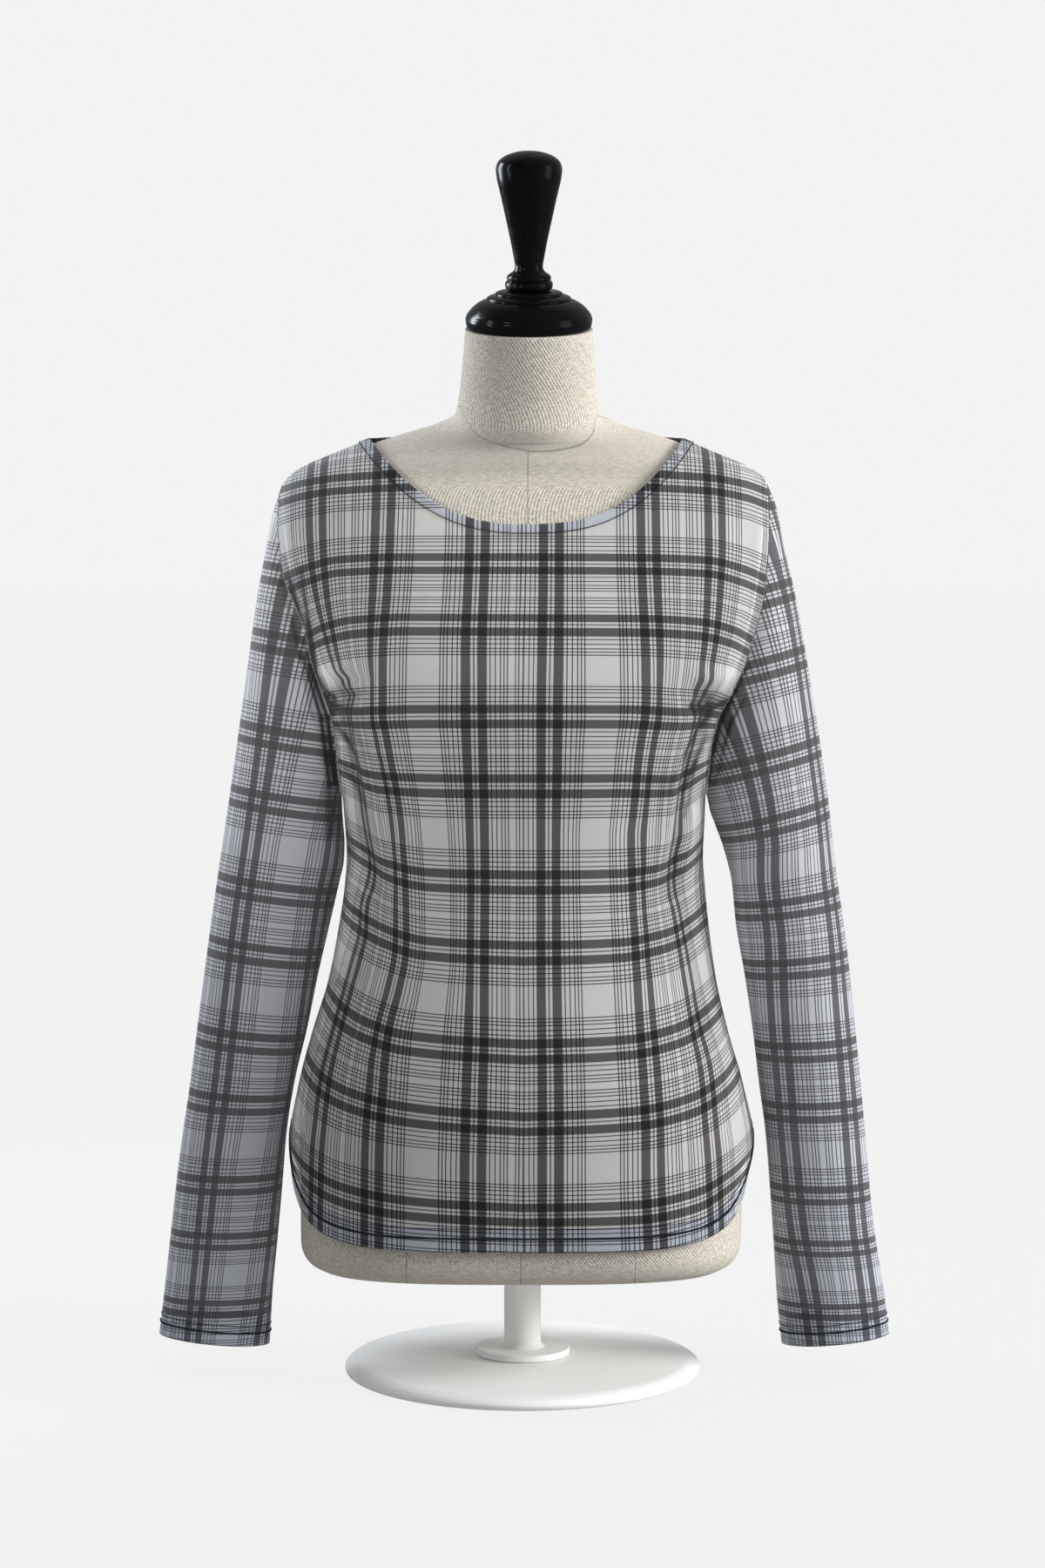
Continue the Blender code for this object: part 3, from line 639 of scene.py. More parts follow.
# Lines of painted shade in the armpits. Here depth is how far they darken the cloth, not a fold.
FRONT_PAINTED_SHADE = table(Fold, [
    (-148, 515, -140, 509, 2.6, 0.90), (-141, 515, -150, 528, 1.5, 0.60),
    (-144, 505, -141, 480, 2.4, 0.60), (-163, 612, -158, 570, 2.0, 0.62),
    (-158, 570, -151, 526, 2.2, 0.72), (-170, 602, -161, 552, 6.0, 0.38),
    (-172, 662, -156, 540, 11.0, 0.24), (-177, 620, -158, 545, 2.4, 0.55),
    (-158, 545, -143, 504, 2.4, 0.70), (-142, 511, -118, 506, 2.6, 0.55),
    (-139, 494, -119, 465, 2.4, 0.62), (-136, 467, -116, 435, 2.4, 0.50),
    (-127, 502, -114, 476, 2.0, 0.40), (154, 513, 140, 508, 2.6, 0.97),
    (145, 511, 134, 521, 1.6, 0.75), (136, 506, 122, 470, 1.8, 0.35),
    (146, 502, 140, 470, 2.4, 0.60), (150, 508, 122, 511, 2.8, 0.60),
    (180, 605, 165, 534, 2.0, 0.40), (165, 534, 150, 505, 2.2, 0.60),
    (141, 503, 119, 477, 2.4, 0.55), (119, 477, 106, 452, 2.4, 0.40),
    (139, 488, 121, 448, 2.4, 0.58), (131, 468, 123, 428, 2.0, 0.42),
])
# Painted shade: how much each mm of trough darkens the cloth, the most that troughs darken it, and the most
# for all painted shade.
SHADE_PER_MM = 0.06
DEEPEST_SHADE = 0.40
DEEPEST_PAINTED_SHADE = 0.97
FOLD_PUSH = [0.3, 1, 0]
FOLD_MARGIN = 0.15
CREASE_MARGIN = 0.06
print("folds and creases:", len(FRONT_FOLDS + BACK_FOLDS + FRONT_CREASES + FRONT_PAINTED_SHADE))

# %% Folding the cloth

def fold_height(folds, x, heights):
    """Sum of the folds at points given as x and height: a soft cross-section with faded ends."""
    total = np.zeros_like(x)
    for fold in folds:
        along = np.array([fold.x1 - fold.x0, fold.height1 - fold.height0])
        length = np.hypot(*along)
        along = along / length
        run = ((x - fold.x0) * along[0] + (heights - fold.height0) * along[1]) / length
        aside = (x - fold.x0) * along[1] - (heights - fold.height0) * along[0]
        past_end = np.maximum(np.maximum(-run, run - 1), 0) * length / fold.width
        total += fold.depth * np.exp(-(aside / fold.width)**2 - past_end**2)
    return total


def away_from_edges(points, share):
    """0 at both side edges of a grid, and 1 past the given share of half its width."""
    columns = points.shape[1]
    from_edge = np.minimum(np.arange(columns), np.arange(columns)[::-1])
    return soft(np.clip(from_edge / (share * columns / 2), 0, 1))


def creased(points, cut, folds, fine_folds, painted_shade=()):
    """The grid with its folds pushed outwards or inwards, and painted shade added to its cut."""
    outward = points * FOLD_PUSH
    outward = outward / np.linalg.norm(outward, axis=2, keepdims=True)
    x, heights = points[..., 0], points[..., 2]
    lift = fold_height(folds, x, heights) * away_from_edges(points, FOLD_MARGIN)
    fine = fold_height(fine_folds, x, heights) * away_from_edges(points, CREASE_MARGIN)
    # Painted shade: the troughs and the listed lines darken the cloth's colour.
    trough = np.clip(-SHADE_PER_MM * (lift + 2 * fine), 0, DEEPEST_SHADE)
    depth = np.clip(fold_height(painted_shade, x, heights) + trough, 0, DEEPEST_PAINTED_SHADE)
    tone = np.stack([depth, np.zeros_like(depth)], axis=2)
    return points + outward * (lift + fine)[..., None], np.concatenate([cut, tone], axis=2)


# %% [markdown]
# ## Laying the plaid on the body
# Real cloth is cut flat and then hung. So each point of the sheet gets its place on the flat
# cloth: how far across the warp, and how far down the weft. Where each double stripe stands is
# kept in two small tables, one for the stripes that run down and one for those that run across.
# Between two stripes the cloth is read evenly. The stripes swing where the creases pull them.

# %% Where the stripes stand on the front
# How far each stripe stands from the middle, from the wearer's right to left, at some heights.
DownStripes = namedtuple("DownStripes", "height r3 r2 r1 l1 l2 l3")
DOWN_MARKS = stripe_marks(-1, 1)
BACK_WARP_MIDDLE = 37.0
FRONT_DOWN = table(DownStripes, [
    (112, -154.0, -111.3, -35.9, 20.4, 98.6, 144.0),
    (170, -153.5, -111.2, -36.2, 20.4, 96.5, 142.0),
    (200, -151.0, -110.4, -35.6, 20.4, 96.3, 139.5),
    (234, -146.8, -107.5, -35.0, 20.3, 94.6, 136.8),
    (270, -138.0, -103.3, -33.8, 19.8, 92.2, 130.5),
    (306, -128.3, -94.0, -33.6, 19.3, 89.8, 123.8),
    (325, -123.0, -90.0, -33.5, 19.2, 88.6, 120.5),
    (342, -118.6, -89.0, -33.4, 19.1, 87.8, 117.4),
    (360, -117.4, -89.2, -33.2, 19.1, 86.5, 114.7),
    (378, -114.4, -89.6, -33.0, 19.0, 85.7, 113.4),
    (396, -112.6, -90.5, -33.0, 19.0, 84.7, 113.8),
    (416, -116.3, -92.3, -33.3, 19.0, 84.3, 117.2),
    (432, -118.9, -94.2, -33.5, 19.0, 85.8, 117.5),
    (450, -120.7, -96.8, -33.8, 19.1, 87.7, 118.7),
    (469, -123.2, -100.5, -34.2, 19.2, 89.3, 122.6),
    (487, -126.8, -103.7, -34.6, 19.2, 91.7, 127.2),
    (504, -128.4, -106.8, -34.9, 19.3, 94.6, 131.0),
    (514, -128.2, -106.9, -35.0, 19.3, 95.2, 130.8),
    (521, -127.2, -106.9, -35.1, 19.4, 95.4, 129.6),
    (530, -128.0, -106.9, -35.1, 19.5, 95.3, 132.0),
    (538, -134.0, -106.9, -35.1, 19.7, 95.2, 134.0),
    (548, -138.5, -106.8, -35.2, 19.9, 95.0, 136.0),
    (565, -142.5, -106.2, -35.1, 20.2, 94.4, 138.0),
    (594, -148.0, -103.9, -34.0, 20.7, 92.9, 140.0),
    (628, -151.5, -102.3, -32.9, 21.0, 92.0, 141.6),
    (660, -153.0, -101.6, -32.6, 21.2, 92.0, 141.8),
])
# The height of each stripe at the middle, then 50, 75, 90 and 100% of the way out to each side.
CrossStripe = namedtuple("CrossStripe", "middle r50 r75 r90 r100 l50 l75 l90 l100")
CROSS_STRIPES = table(CrossStripe, [
    (140.0, 144.2, 150.0, 158.5, 171.0, 140.9, 146.5, 157.0, 168.0),
    (206.9, 212.7, 220.0, 229.0, 240.0, 209.8, 216.8, 227.0, 237.0),
    (259.6, 264.0, 272.0, 281.5, 292.0, 261.5, 267.7, 275.0, 283.0),
    (331.4, 334.0, 342.5, 350.5, 358.0, 332.5, 337.5, 344.5, 352.0),
    (383.0, 384.0, 389.8, 399.0, 406.5, 383.0, 386.7, 393.5, 404.0),
    (454.5, 454.2, 454.5, 459.0, 464.5, 454.0, 452.4, 456.0, 464.0),
    (505.6, 504.8, 502.9, 501.5, 500.0, 504.6, 502.1, 501.0, 498.0),
    (571.5, 571.8, 569.5, 564.0, 557.0, 570.7, 567.8, 561.5, 553.5),
    (615.1, 615.1, 613.2, 606.5, 600.0, 614.4, 612.6, 606.0, 599.0),
    (676.0, 675.5, 673.5, 670.0, 665.0, 675.5, 673.5, 669.0, 663.0),
    (725.0, 724.0, 722.0, 718.0, 713.0, 724.0, 722.0, 717.0, 711.0),
])
# The cloth is measured downwards, so the lowest stripe has the highest mark.
CROSS_MARKS = stripe_marks(-1, 4)[-2::-1]
CROSS_SHARES = [0, 0.5, 0.75, 0.9, 1]
print("double stripes, down and across:", len(DOWN_MARKS), len(CROSS_STRIPES))

# %% The weft's place on the body

def read_chart(lines, marks, at):
    """Between lines that rise along the first axis, the mark belonging to each reading."""
    place = np.clip((lines <= at).sum(axis=0) - 1, 0, len(lines) - 2)[None]
    low = np.take_along_axis(lines, place, 0)[0]
    high = np.take_along_axis(lines, place + 1, 0)[0]
    place = place[0]
    return marks[place] + (at - low) * (marks[place + 1] - marks[place]) / (high - low)


def weft_place(points):
    """How far down the cloth each point lies. It needs the height and the share of the width."""
    heights = points[..., 2]
    on_right = points[..., 0] < 0
    shares = [np.clip(sign * points[..., 0] / read(BODY_RINGS, side, heights), 0, 1)
              for side, sign in SIDES.items()]
    lines = []
    for middle, *outer in CROSS_STRIPES:
        sides = [smooth_through(CROSS_SHARES, [middle, *line], share)
                 for line, share in zip((outer[:4], outer[4:]), shares)]
        lines.append(np.where(on_right, *sides))
    return read_chart(np.stack(lines), CROSS_MARKS, heights)


# %% The warp's place on the body
REACH_BOTTOM = 100
REACH_TOP = 640
REACH_LEVELS = 135
REACH_TURNS = 60


def level_reach(face, side, x, heights):
    """Distance along the body's level outline, from the middle out to x.

    It is worked out for a net of heights and turns, and read between the four nearest.
    """
    heights = np.clip(heights, REACH_BOTTOM, REACH_TOP)
    levels = np.linspace(REACH_BOTTOM, REACH_TOP, REACH_LEVELS + 1)
    turns = np.linspace(0, pi / 2, REACH_TURNS + 1)
    width, depth, roundness = body_outline(side, face, levels[:, None])
    outline = [width * np.sin(turns)**(2 / roundness), depth * np.cos(turns)**(2 / roundness)]
    reach = travelled(np.stack(outline, axis=2).swapaxes(0, 1)).T
    width, _, roundness = body_outline(side, face, heights)
    turn = np.arcsin(np.clip(np.abs(x) / width, 0, 1)**(roundness / 2)) / (pi / 2) * REACH_TURNS
    level = (heights - REACH_BOTTOM) / (REACH_TOP - REACH_BOTTOM) * REACH_LEVELS
    low_turn = np.minimum(turn.astype(int), REACH_TURNS - 1)
    low_level = np.minimum(level.astype(int), REACH_LEVELS - 1)

    def on_level(row):
        low, high = reach[row, low_turn], reach[row, low_turn + 1]
        return low + (high - low) * (turn - low_turn)

    lower, upper = on_level(low_level), on_level(low_level + 1)
    return lower + (upper - lower) * (level - low_level)


def reach_from_middle(face, x, heights):
    """The same for points on both sides: negative on the wearer's right."""
    on_right = -level_reach(face, "right", x, heights)
    return np.where(x < 0, on_right, level_reach(face, "left", x, heights))


def warp_place(face, points):
    """How far across the cloth each point lies: on the front, from the stripes that run down.

    The back hangs plain, so its warp keeps its distance from the middle of the back.
    """
    x, heights = points[..., 0], points[..., 2]
    reach = reach_from_middle(face, x, heights)
    if face == "back":
        return BACK_WARP_MIDDLE - reach
    in_table = np.clip(heights, FRONT_DOWN[0].height, FRONT_DOWN[-1].height)
    lines = [reach_from_middle("front", read(FRONT_DOWN, column, in_table), heights)
             for column in DownStripes._fields[1:]]
    return read_chart(np.stack(lines), DOWN_MARKS, reach)


def cloth_cut(face, points):
    return np.stack([warp_place(face, points), weft_place(points)], axis=2)


# %% [markdown]
# ## Hems
# The hem and the cuffs are a narrow strip of the same sheet, turned up inside and stitched. It
# is modelled the same way: the grid goes on past its edge, half a millimetre inside itself. Two
# layers then lie behind each other, so the hem looks denser and its stripes show twice.

# %% Turning up an edge
HEM_DEPTH = 17.6
CUFF_DEPTH = 15.6
TURN_GAP = 0.55
TURN_ROUNDING = 0.8
DOUBLED = 1.1
ROWS_NEAR_EDGE = 60


def up_from_edge(points, distance):
    """The row of points that lies a distance up the cloth from the first row."""
    found = []
    for column in range(points.shape[1]):
        line = points[:ROWS_NEAR_EDGE, column]
        climbed = travelled(line)
        found.append([np.interp(distance, climbed, line[:, axis]) for axis in range(3)])
    return np.array(found)


def turned_up(points, cut, depth, rows, closed=False):
    """The grid with a strip of the given depth turned up inside its first row."""
    normals = outward_normals(points, closed)[0]
    climbed = travelled(points)
    if closed:
        climbed = np.concatenate([climbed, climbed[:, :1]], axis=1)
    cut = cut.copy()
    doubled = DOUBLED * np.clip((depth - climbed) / TURN_ROUNDING + 0.5, 0, 1)
    cut[..., 3] = np.maximum(cut[..., 3], doubled)
    strip, strip_cut = [], []
    for distance in np.linspace(depth, 0, rows, endpoint=False):
        inside = TURN_GAP * min(1.0, distance / TURN_ROUNDING)
        strip.append(up_from_edge(points, distance) - inside * normals)
        strip_cut.append(cut[0] + [0, distance, 0, 0])
    return np.concatenate([strip, points]), np.concatenate([strip_cut, cut])


# %% The front and the back
COLUMNS = {"front": 250, "back": 190}
FINE_CREASES = {"front": FRONT_CREASES, "back": []}
FOLDS = {"front": FRONT_FOLDS, "back": BACK_FOLDS}
# The lines of painted shade on each panel.
PAINTED_SHADE = {"front": FRONT_PAINTED_SHADE, "back": []}
PANEL_STEPS = 11
HEM_ROWS = 10


def make_panel(face):
    """The sheet of the front or the back, and its grid without the hem's turning."""
    points = panel_points(face, dense(PANEL_ROWS, PANEL_STEPS), COLUMNS[face])
    cut = cloth_cut(face, points)
    points, cut = creased(points, cut, FOLDS[face], FINE_CREASES[face], PAINTED_SHADE[face])
    whole, whole_cut = turned_up(points, cut, HEM_DEPTH, HEM_ROWS)
    return report(grid_mesh(f"top_{face}_sheet", whole, whole_cut, PLAID_MESH)), points


top_front, front_points = make_panel("front")
top_back, back_points = make_panel("back")

# %% [markdown]
# ## Sleeves
# A sleeve is a tube of flat oval rings. Its first rings turn out of the armhole, so the armhole's
# own shape fades out down the cap. The plaid is laid around the tube's outer line.

# %% Tables of the sleeves
SLEEVE_GAP = 0.7
CAP_PUFF = 5.0
FIRST_TUBE_RING = 7
SleeveRing = namedtuple("SleeveRing", "outer_height inner_height front back")
SLEEVE_RINGS = table(SleeveRing, [
    (676, 440, 46, 54), (662, 438, 46, 53.5), (640, 435, 45.5, 53), (612, 432, 45, 52),
    (580, 429, 44, 51), (545, 426, 43, 49.5), (505, 422, 42, 48), (462, 418, 41, 46),
    (427, 404, 40, 44.5), (389, 376, 38.5, 42.5), (350, 342, 37, 40.5), (305, 297, 35, 38.5),
    (260, 252, 33.5, 36.5), (215, 207, 32, 34.5), (170, 162, 30.5, 33), (125, 117, 29.5, 31.5),
    (80, 72, 28.5, 30), (48, 40, 28, 29), (28, 20, 27.5, 28.5),
])
SleeveSide = namedtuple("SleeveSide", "height right left")
SLEEVE_OUTER = table(SleeveSide, [
    (20, 279.0, 281.5), (60, 274.0, 276.4), (115, 267.6, 267.8),
    (169, 261.0, 262.5), (222, 253.0, 257.5), (276, 245.8, 251.8),
    (330, 238.4, 245.8), (382, 230.8, 238.0), (435, 222.6, 231.8),
    (488, 214.8, 224.0), (541, 207.2, 215.5), (593, 199.4, 206.4),
    (633, 191.5, 197.8), (659, 185.8, 193.0), (676, 180.0, 187.0),
])
SLEEVE_INNER = table(SleeveSide, [
    (20, 193.6, 198.4), (60, 191.2, 194.4), (101, 187.2, 191.8),
    (142, 183.4, 188.8), (182, 180.0, 185.4), (222, 173.6, 180.0),
    (262, 164.0, 175.2), (302, 155.8, 169.2), (342, 146.5, 162.2),
    (376, 138.6, 158.6), (390, 135.6, 155.4), (404, 135.0, 151.2),
    (418, 136.0, 146.0), (429, 137.0, 142.8), (440, 138.0, 142.4),
])
print("rings of a sleeve:", len(SLEEVE_RINGS))

# %% Rings of a sleeve

def plain_ring(side, ring, angles):
    """A flat oval between the outer and inner sides of a sleeve, for rows of ring sizes."""
    heights = [ring.outer_height[:, None], ring.inner_height[:, None]]
    ends = [np.stack([SIDES[side] * read(line, side, height), height])
            for line, height in zip((SLEEVE_OUTER, SLEEVE_INNER), heights)]
    x, z = (ends[0] + ends[1]) / 2 + np.cos(angles) * (ends[0] - ends[1]) / 2
    depth = np.where(angles >= 0, ring.front[:, None], ring.back[:, None])
    return np.stack([x, -depth * np.sin(angles), z], axis=2)


def armhole_ring(side, angles):
    """The panels' edge around one armhole, just outside it."""
    heights = ARMHOLE_MIDDLE + ARMHOLE_HALF * np.cos(angles)
    reach = np.where(angles >= 0, ARMHOLE_REACH["front"], ARMHOLE_REACH["back"])
    x = SIDES[side] * read(BODY_RINGS, side, heights)
    loop = np.stack([x, -reach * np.sin(angles), heights], axis=1)
    inwards = (loop.mean(axis=0) - loop) * [0, 1, 1]
    inwards /= np.linalg.norm(inwards, axis=1, keepdims=True)
    return loop + SLEEVE_GAP * (inwards + [SIDES[side], 0, 0])


def sleeve_points(side, steps, columns):
    """Rows from the cuff up to the armhole, and columns from the inner seam round to it."""
    angles = np.linspace(-pi, pi, columns + 1)[:-1]
    rings = dense(SLEEVE_RINGS, steps)
    points = plain_ring(side, rings, angles)
    own_shape = armhole_ring(side, angles) - points[0]
    share = np.minimum(1, np.arange(len(points)) / steps / FIRST_TUBE_RING)[:, None]
    points += ((1 - share)**1.5)[..., None] * own_shape
    points[..., 0] += SIDES[side] * CAP_PUFF * np.sin(pi * share) * np.sin(angles)**2
    return points[::-1]


# %% Where the stripes stand on a sleeve
DownPair = namedtuple("DownPair", "height first second third")
SLEEVE_DOWN = {
    "right": table(DownPair, [(20, -7, 43, 110), (300, -7, 43, 110), (480, -6, 45, 112),
                              (676, -6, 45, 112)]),
    "left": table(DownPair, [(20, 26.5, 82, 155), (253, 26.5, 79, 150), (350, 25, 74, 140),
                             (440, 24, 69, 132), (676, 24, 68, 130)]),
}
SLEEVE_DOWN_MARKS = stripe_marks(0, 1)[:3]
SLEEVE_CROSS_MARKS = stripe_marks(-2, 4)[:0:-1]
SLEEVE_CROSS = {
    "right": [8, 52, 103, 146, 208, 255, 322, 368.5, 435, 483.5, 554, 604, 672],
    "left": [8, 49.5, 97.5, 138, 202, 248, 312, 357.5, 421, 468, 538, 590, 660],
}
SLEEVE_LEAN = table(SleeveSide, [
    (20, 0.0, 0.0), (150, 0.0, 0.0), (208, 0.05, 0.02), (255, 0.10, 0.04), (350, 0.13, 0.12),
    (440, 0.15, 0.26), (676, 0.18, 0.26),
])
# Lines of painted shade on the front of each sleeve, beside the armhole. Here depth is how far they darken
# the cloth.
SLEEVE_PAINTED_SHADE = {
    "right": table(Fold, [
        (-163, 560, -158, 540, 1.6, 0.60), (-158, 540, -145, 500, 1.8, 0.85),
        (-145, 500, -140, 450, 2.2, 0.90), (-163, 545, -150, 500, 1.6, 0.60),
        (-150, 500, -145, 450, 1.8, 0.60), (-145, 450, -147, 408, 2.2, 0.40),
        (-157, 536, -146, 470, 5.5, 0.42), (-144, 468, -143, 415, 5.5, 0.38),
        (-178, 600, -164, 545, 3.0, 0.35), (-171, 572, -156, 500, 1.4, 0.35),
    ]),
    "left": table(Fold, [
        (168, 540, 158, 520, 1.6, 0.75), (158, 520, 148, 500, 2.2, 0.95),
        (148, 500, 142, 476, 2.5, 0.97), (142, 476, 140, 452, 2.2, 0.90),
        (165, 514, 155, 496, 1.6, 0.60), (155, 496, 144, 450, 1.8, 0.60),
        (157, 511, 147, 478, 4.0, 0.50),
    ]),
}
COOL_AT_CUFF = 0.75
COOL_AT_SHOULDER = 0.05
UNDERARM = 404
FULLEST_HALF = 46
FLATNESS = {"front": 0.86, "back": 0.94}
# Over how many mm towards the back of a sleeve the painted shade fades out.
PAINTED_SHADE_FADE = 8
print("stripes across a sleeve:", len(SLEEVE_CROSS_MARKS))

# %% Laying the plaid on a sleeve

def sleeve_cut(side, points):
    """Across: around the tube from its outer line. Down: by height, on a leaning line."""
    heights = points[..., 2]
    outer = read(SLEEVE_OUTER, side, heights)
    inner = read(SLEEVE_INNER, side, np.minimum(heights, UNDERARM))
    half = np.clip((outer - inner) / 2, 0, FULLEST_HALF)
    from_axis = SIDES[side] * points[..., 0] - (outer - half)
    flatness = np.where(points[..., 1] < 0, FLATNESS["front"], FLATNESS["back"])
    angle = np.arctan2(-points[..., 1] / flatness, from_axis)
    depth = half * flatness
    around = (half + depth) / 2 * angle - (half - depth) / 4 * np.sin(2 * angle)
    lines = np.stack([read(SLEEVE_DOWN[side], column, heights) for column in DownPair._fields[1:]])
    across = read_chart(lines, SLEEVE_DOWN_MARKS, around)
    leaned = heights - read(SLEEVE_LEAN, side, heights) * from_axis
    known = np.array(SLEEVE_CROSS[side], float)
    lines = np.broadcast_to(known[:, None, None], (len(known), *heights.shape))
    return np.stack([across, read_chart(lines, SLEEVE_CROSS_MARKS, leaned)], axis=2)


def sleeve_tone(side, points):
    """Painted shade and coolness on a sleeve. The painted shade lies on its front, beside the armhole, and
    the coolness grows towards the cuff.
    """
    depth = fold_height(SLEEVE_PAINTED_SHADE[side], points[..., 0], points[..., 2])
    depth *= np.clip(-points[..., 1] / PAINTED_SHADE_FADE, 0, 1)
    up = np.clip(points[..., 2] / ARMHOLE_TOP, 0, 1)
    cool = COOL_AT_CUFF * (1 - up) + COOL_AT_SHOULDER * up
    return np.stack([np.clip(depth, 0, DEEPEST_PAINTED_SHADE), cool], axis=2)


# %% The two sleeves
SLEEVE_STEPS = 12
SLEEVE_COLUMNS = 200
CUFF_ROWS = 9


def make_sleeve(side):
    """The sheet of one sleeve, and its smooth grid from the cuff up, for the stitches."""
    points = sleeve_points(side, SLEEVE_STEPS, SLEEVE_COLUMNS)
    closed_points = np.concatenate([points, points[:, :1]], axis=1)
    cut = sleeve_cut(side, closed_points)
    cut[:, 0, 0] = 2 * cut[:, 1, 0] - cut[:, 2, 0]
    cut[:, -1, 0] = 2 * cut[:, -2, 0] - cut[:, -3, 0]
    cut = np.concatenate([cut, sleeve_tone(side, closed_points)], axis=2)
    if side == "left":
        points, cut = np.roll(points[:, ::-1], 1, axis=1), cut[:, ::-1]
    whole, whole_cut = turned_up(points, cut, CUFF_DEPTH, CUFF_ROWS, closed=True)
    return report(grid_mesh(f"sleeve_{side}_sheet", whole, whole_cut, SLEEVE_MESH, closed=True)), points


sleeve_right, right_points = make_sleeve("right")
sleeve_left, left_points = make_sleeve("left")

# %% [markdown]
# ## Neck binding
# The neck edge is bound with a narrow strip folded over it. The plaid runs on across it, in a
# cooler and denser tone, because there the cloth lies in more than one layer.

# %% The binding
BindingStep = namedtuple("BindingStep", "share off")
BINDING_SECTION = table(BindingStep, [
    (0.00, 0.35), (0.04, 0.70), (0.20, 0.80), (0.50, 0.85), (0.80, 0.80), (0.94, 0.60),
    (1.00, 0.05), (0.94, -0.55), (0.80, -0.80), (0.50, -0.85), (0.15, -0.85), (0.00, -0.60),
])
BINDING_STEPS = 8


def all_round(front, back):
    """One loop of columns from both panels. Its last column is the first one again."""
    return np.concatenate([front[:, :-1], back], axis=1)


def neck_panels(rows):
    return [panel_points(face, rows, COLUMNS[face]) for face in ("front", "back")]


def row_at(grid, share):
    """The row at a share of the way up a grid of even rows."""
    place = share * (len(grid) - 1)
    low = min(int(place), len(grid) - 2)
    return grid[low] + (place - low) * (grid[low + 1] - grid[low])


def make_binding():
    """The folded strip. Its rows are the first stretch of a curve that goes on past its top."""
    rows = dense(BINDING_ROWS + [PAST_BINDING], BINDING_STEPS)
    front, back = neck_panels(PanelRow(*(column[:BINDING_STEPS + 1] for column in rows)))
    points = all_round(front, back)[:, :-1]
    cuts = all_round(cloth_cut("front", front), cloth_cut("back", back))
    normals = outward_normals(points, closed=True)
    section = [row_at(points, bind.share) + bind.off * row_at(normals, bind.share)
               for bind in BINDING_SECTION]
    cut = [row_at(cuts, bind.share) for bind in BINDING_SECTION]
    return grid_mesh("neck_binding_sheet", np.array(section), np.array(cut), BINDING_MESH, closed=True)


neck_binding = report(make_binding())

# %% [markdown]
# ## The dress form
# A dress form is a padded bust covered in pieces of linen. It is one closed skin of rounded
# rings. Its seams are thin lines in the linen: one down the middle of the front and back, one over
# each side of the bust, one at each side, and one around the root of the neck.

# %% Table of the form
FORM_BOTTOM = 85.0
FORM_TOP = 790.0
FORM_LEAN = 0.0088
FORM_AXIS_AT_BOTTOM = -1.4
NECK_TILT = radians(11.5)
NECK_RISE = tan(NECK_TILT)
NECK_SHIFT = -14.0
FormRing = namedtuple("FormRing", "height half_width front back roundness centre_y tilt")
FORM_RINGS = table(FormRing, [
    (85, 153.0, 97, 99, 3.1, 0, 0), (90, 161.5, 103, 105, 3.1, 0, 0),
    (102, 167.0, 106.5, 109.5, 3.0, 0, 0), (130, 167.6, 106.5, 110.5, 2.7, 0, 0),
    (170, 166.5, 107, 112, 2.4, 0, 0), (210, 161.0, 106, 111, 2.35, 0, 0),
    (250, 151.0, 102, 104, 2.3, 0, 0), (300, 134.0, 93, 90, 2.25, 0, 0),
    (340, 123.0, 86, 81, 2.2, 0, 0), (380, 119.0, 84, 78, 2.2, 0, 0),
    (420, 124.0, 92, 82, 2.2, 0, 0), (460, 131.0, 104, 90, 2.25, 0, 0),
    (500, 136.0, 114, 96, 2.3, 0, 0), (540, 146.0, 117, 99, 2.35, 0, 0),
    (580, 158.0, 109, 98, 2.35, 0, 0), (620, 169.0, 94, 92, 2.3, 0, 0),
    (650, 174.0, 79, 83, 2.15, 0, 0), (668, 173.5, 67, 75, 2.05, 0, 0),
    (680, 167.8, 58, 69, 1.95, 0, 0), (690, 151.6, 55, 63.3, 1.8, 0, 0.02),
    (699, 132.8, 51.5, 58.4, 1.65, 0, 0.06), (706, 114.2, 50, 54.7, 1.6, 0, 0.12),
    (712, 94.6, 50, 53.4, 1.65, 0, 0.20), (718, 71.0, 50, 52, 1.8, -1, 0.26),
    (726, 55.5, 50.5, 50, 2.0, -3, 0.27), (742, 52.0, 49, 49, 2.0, -5, 0.24),
    (766, 49.5, 48, 48, 2.0, -10, 0.21), (790, 47.7, 46.6, 46.6, 2.0, NECK_SHIFT, NECK_RISE),
])
print("rings of the form:", len(FORM_RINGS))

# %% Seams of the form
PrincessSeam = namedtuple("PrincessSeam", "height x")
PRINCESS_SEAM = table(PrincessSeam, [(85, 80), (130, 84), (250, 76), (380, 60), (540, 82), (640, 92),
                                     (700, 98), (790, 98)])
CURVE_UNIT = 100
SEAM_WIDTH = 0.0006
BUST_TOP = 0.6
SIDE_SEAM_BEYOND = 0.04
NECK_SEAM_HEIGHT = 0.749
NECK_SEAM_SLOPE = -0.07
NECK_SEAM_FRONT = -0.02


def princess_line(tree, z):
    """How far out the seam over the bust runs, at each height."""
    curve = step(tree, "ShaderNodeFloatCurve", {"Value": z})
    points = curve.mapping.curves[0].points
    for seam in PRINCESS_SEAM[1:-1]:
        points.new(seam.height * MM, seam.x / CURVE_UNIT)
    points[0].location = (0, PRINCESS_SEAM[0].x / CURVE_UNIT)
    points[len(points) - 1].location = (1, PRINCESS_SEAM[-1].x / CURVE_UNIT)
    curve.mapping.update()
    return maths(tree, "MULTIPLY", curve.outputs[0], CURVE_UNIT * MM)


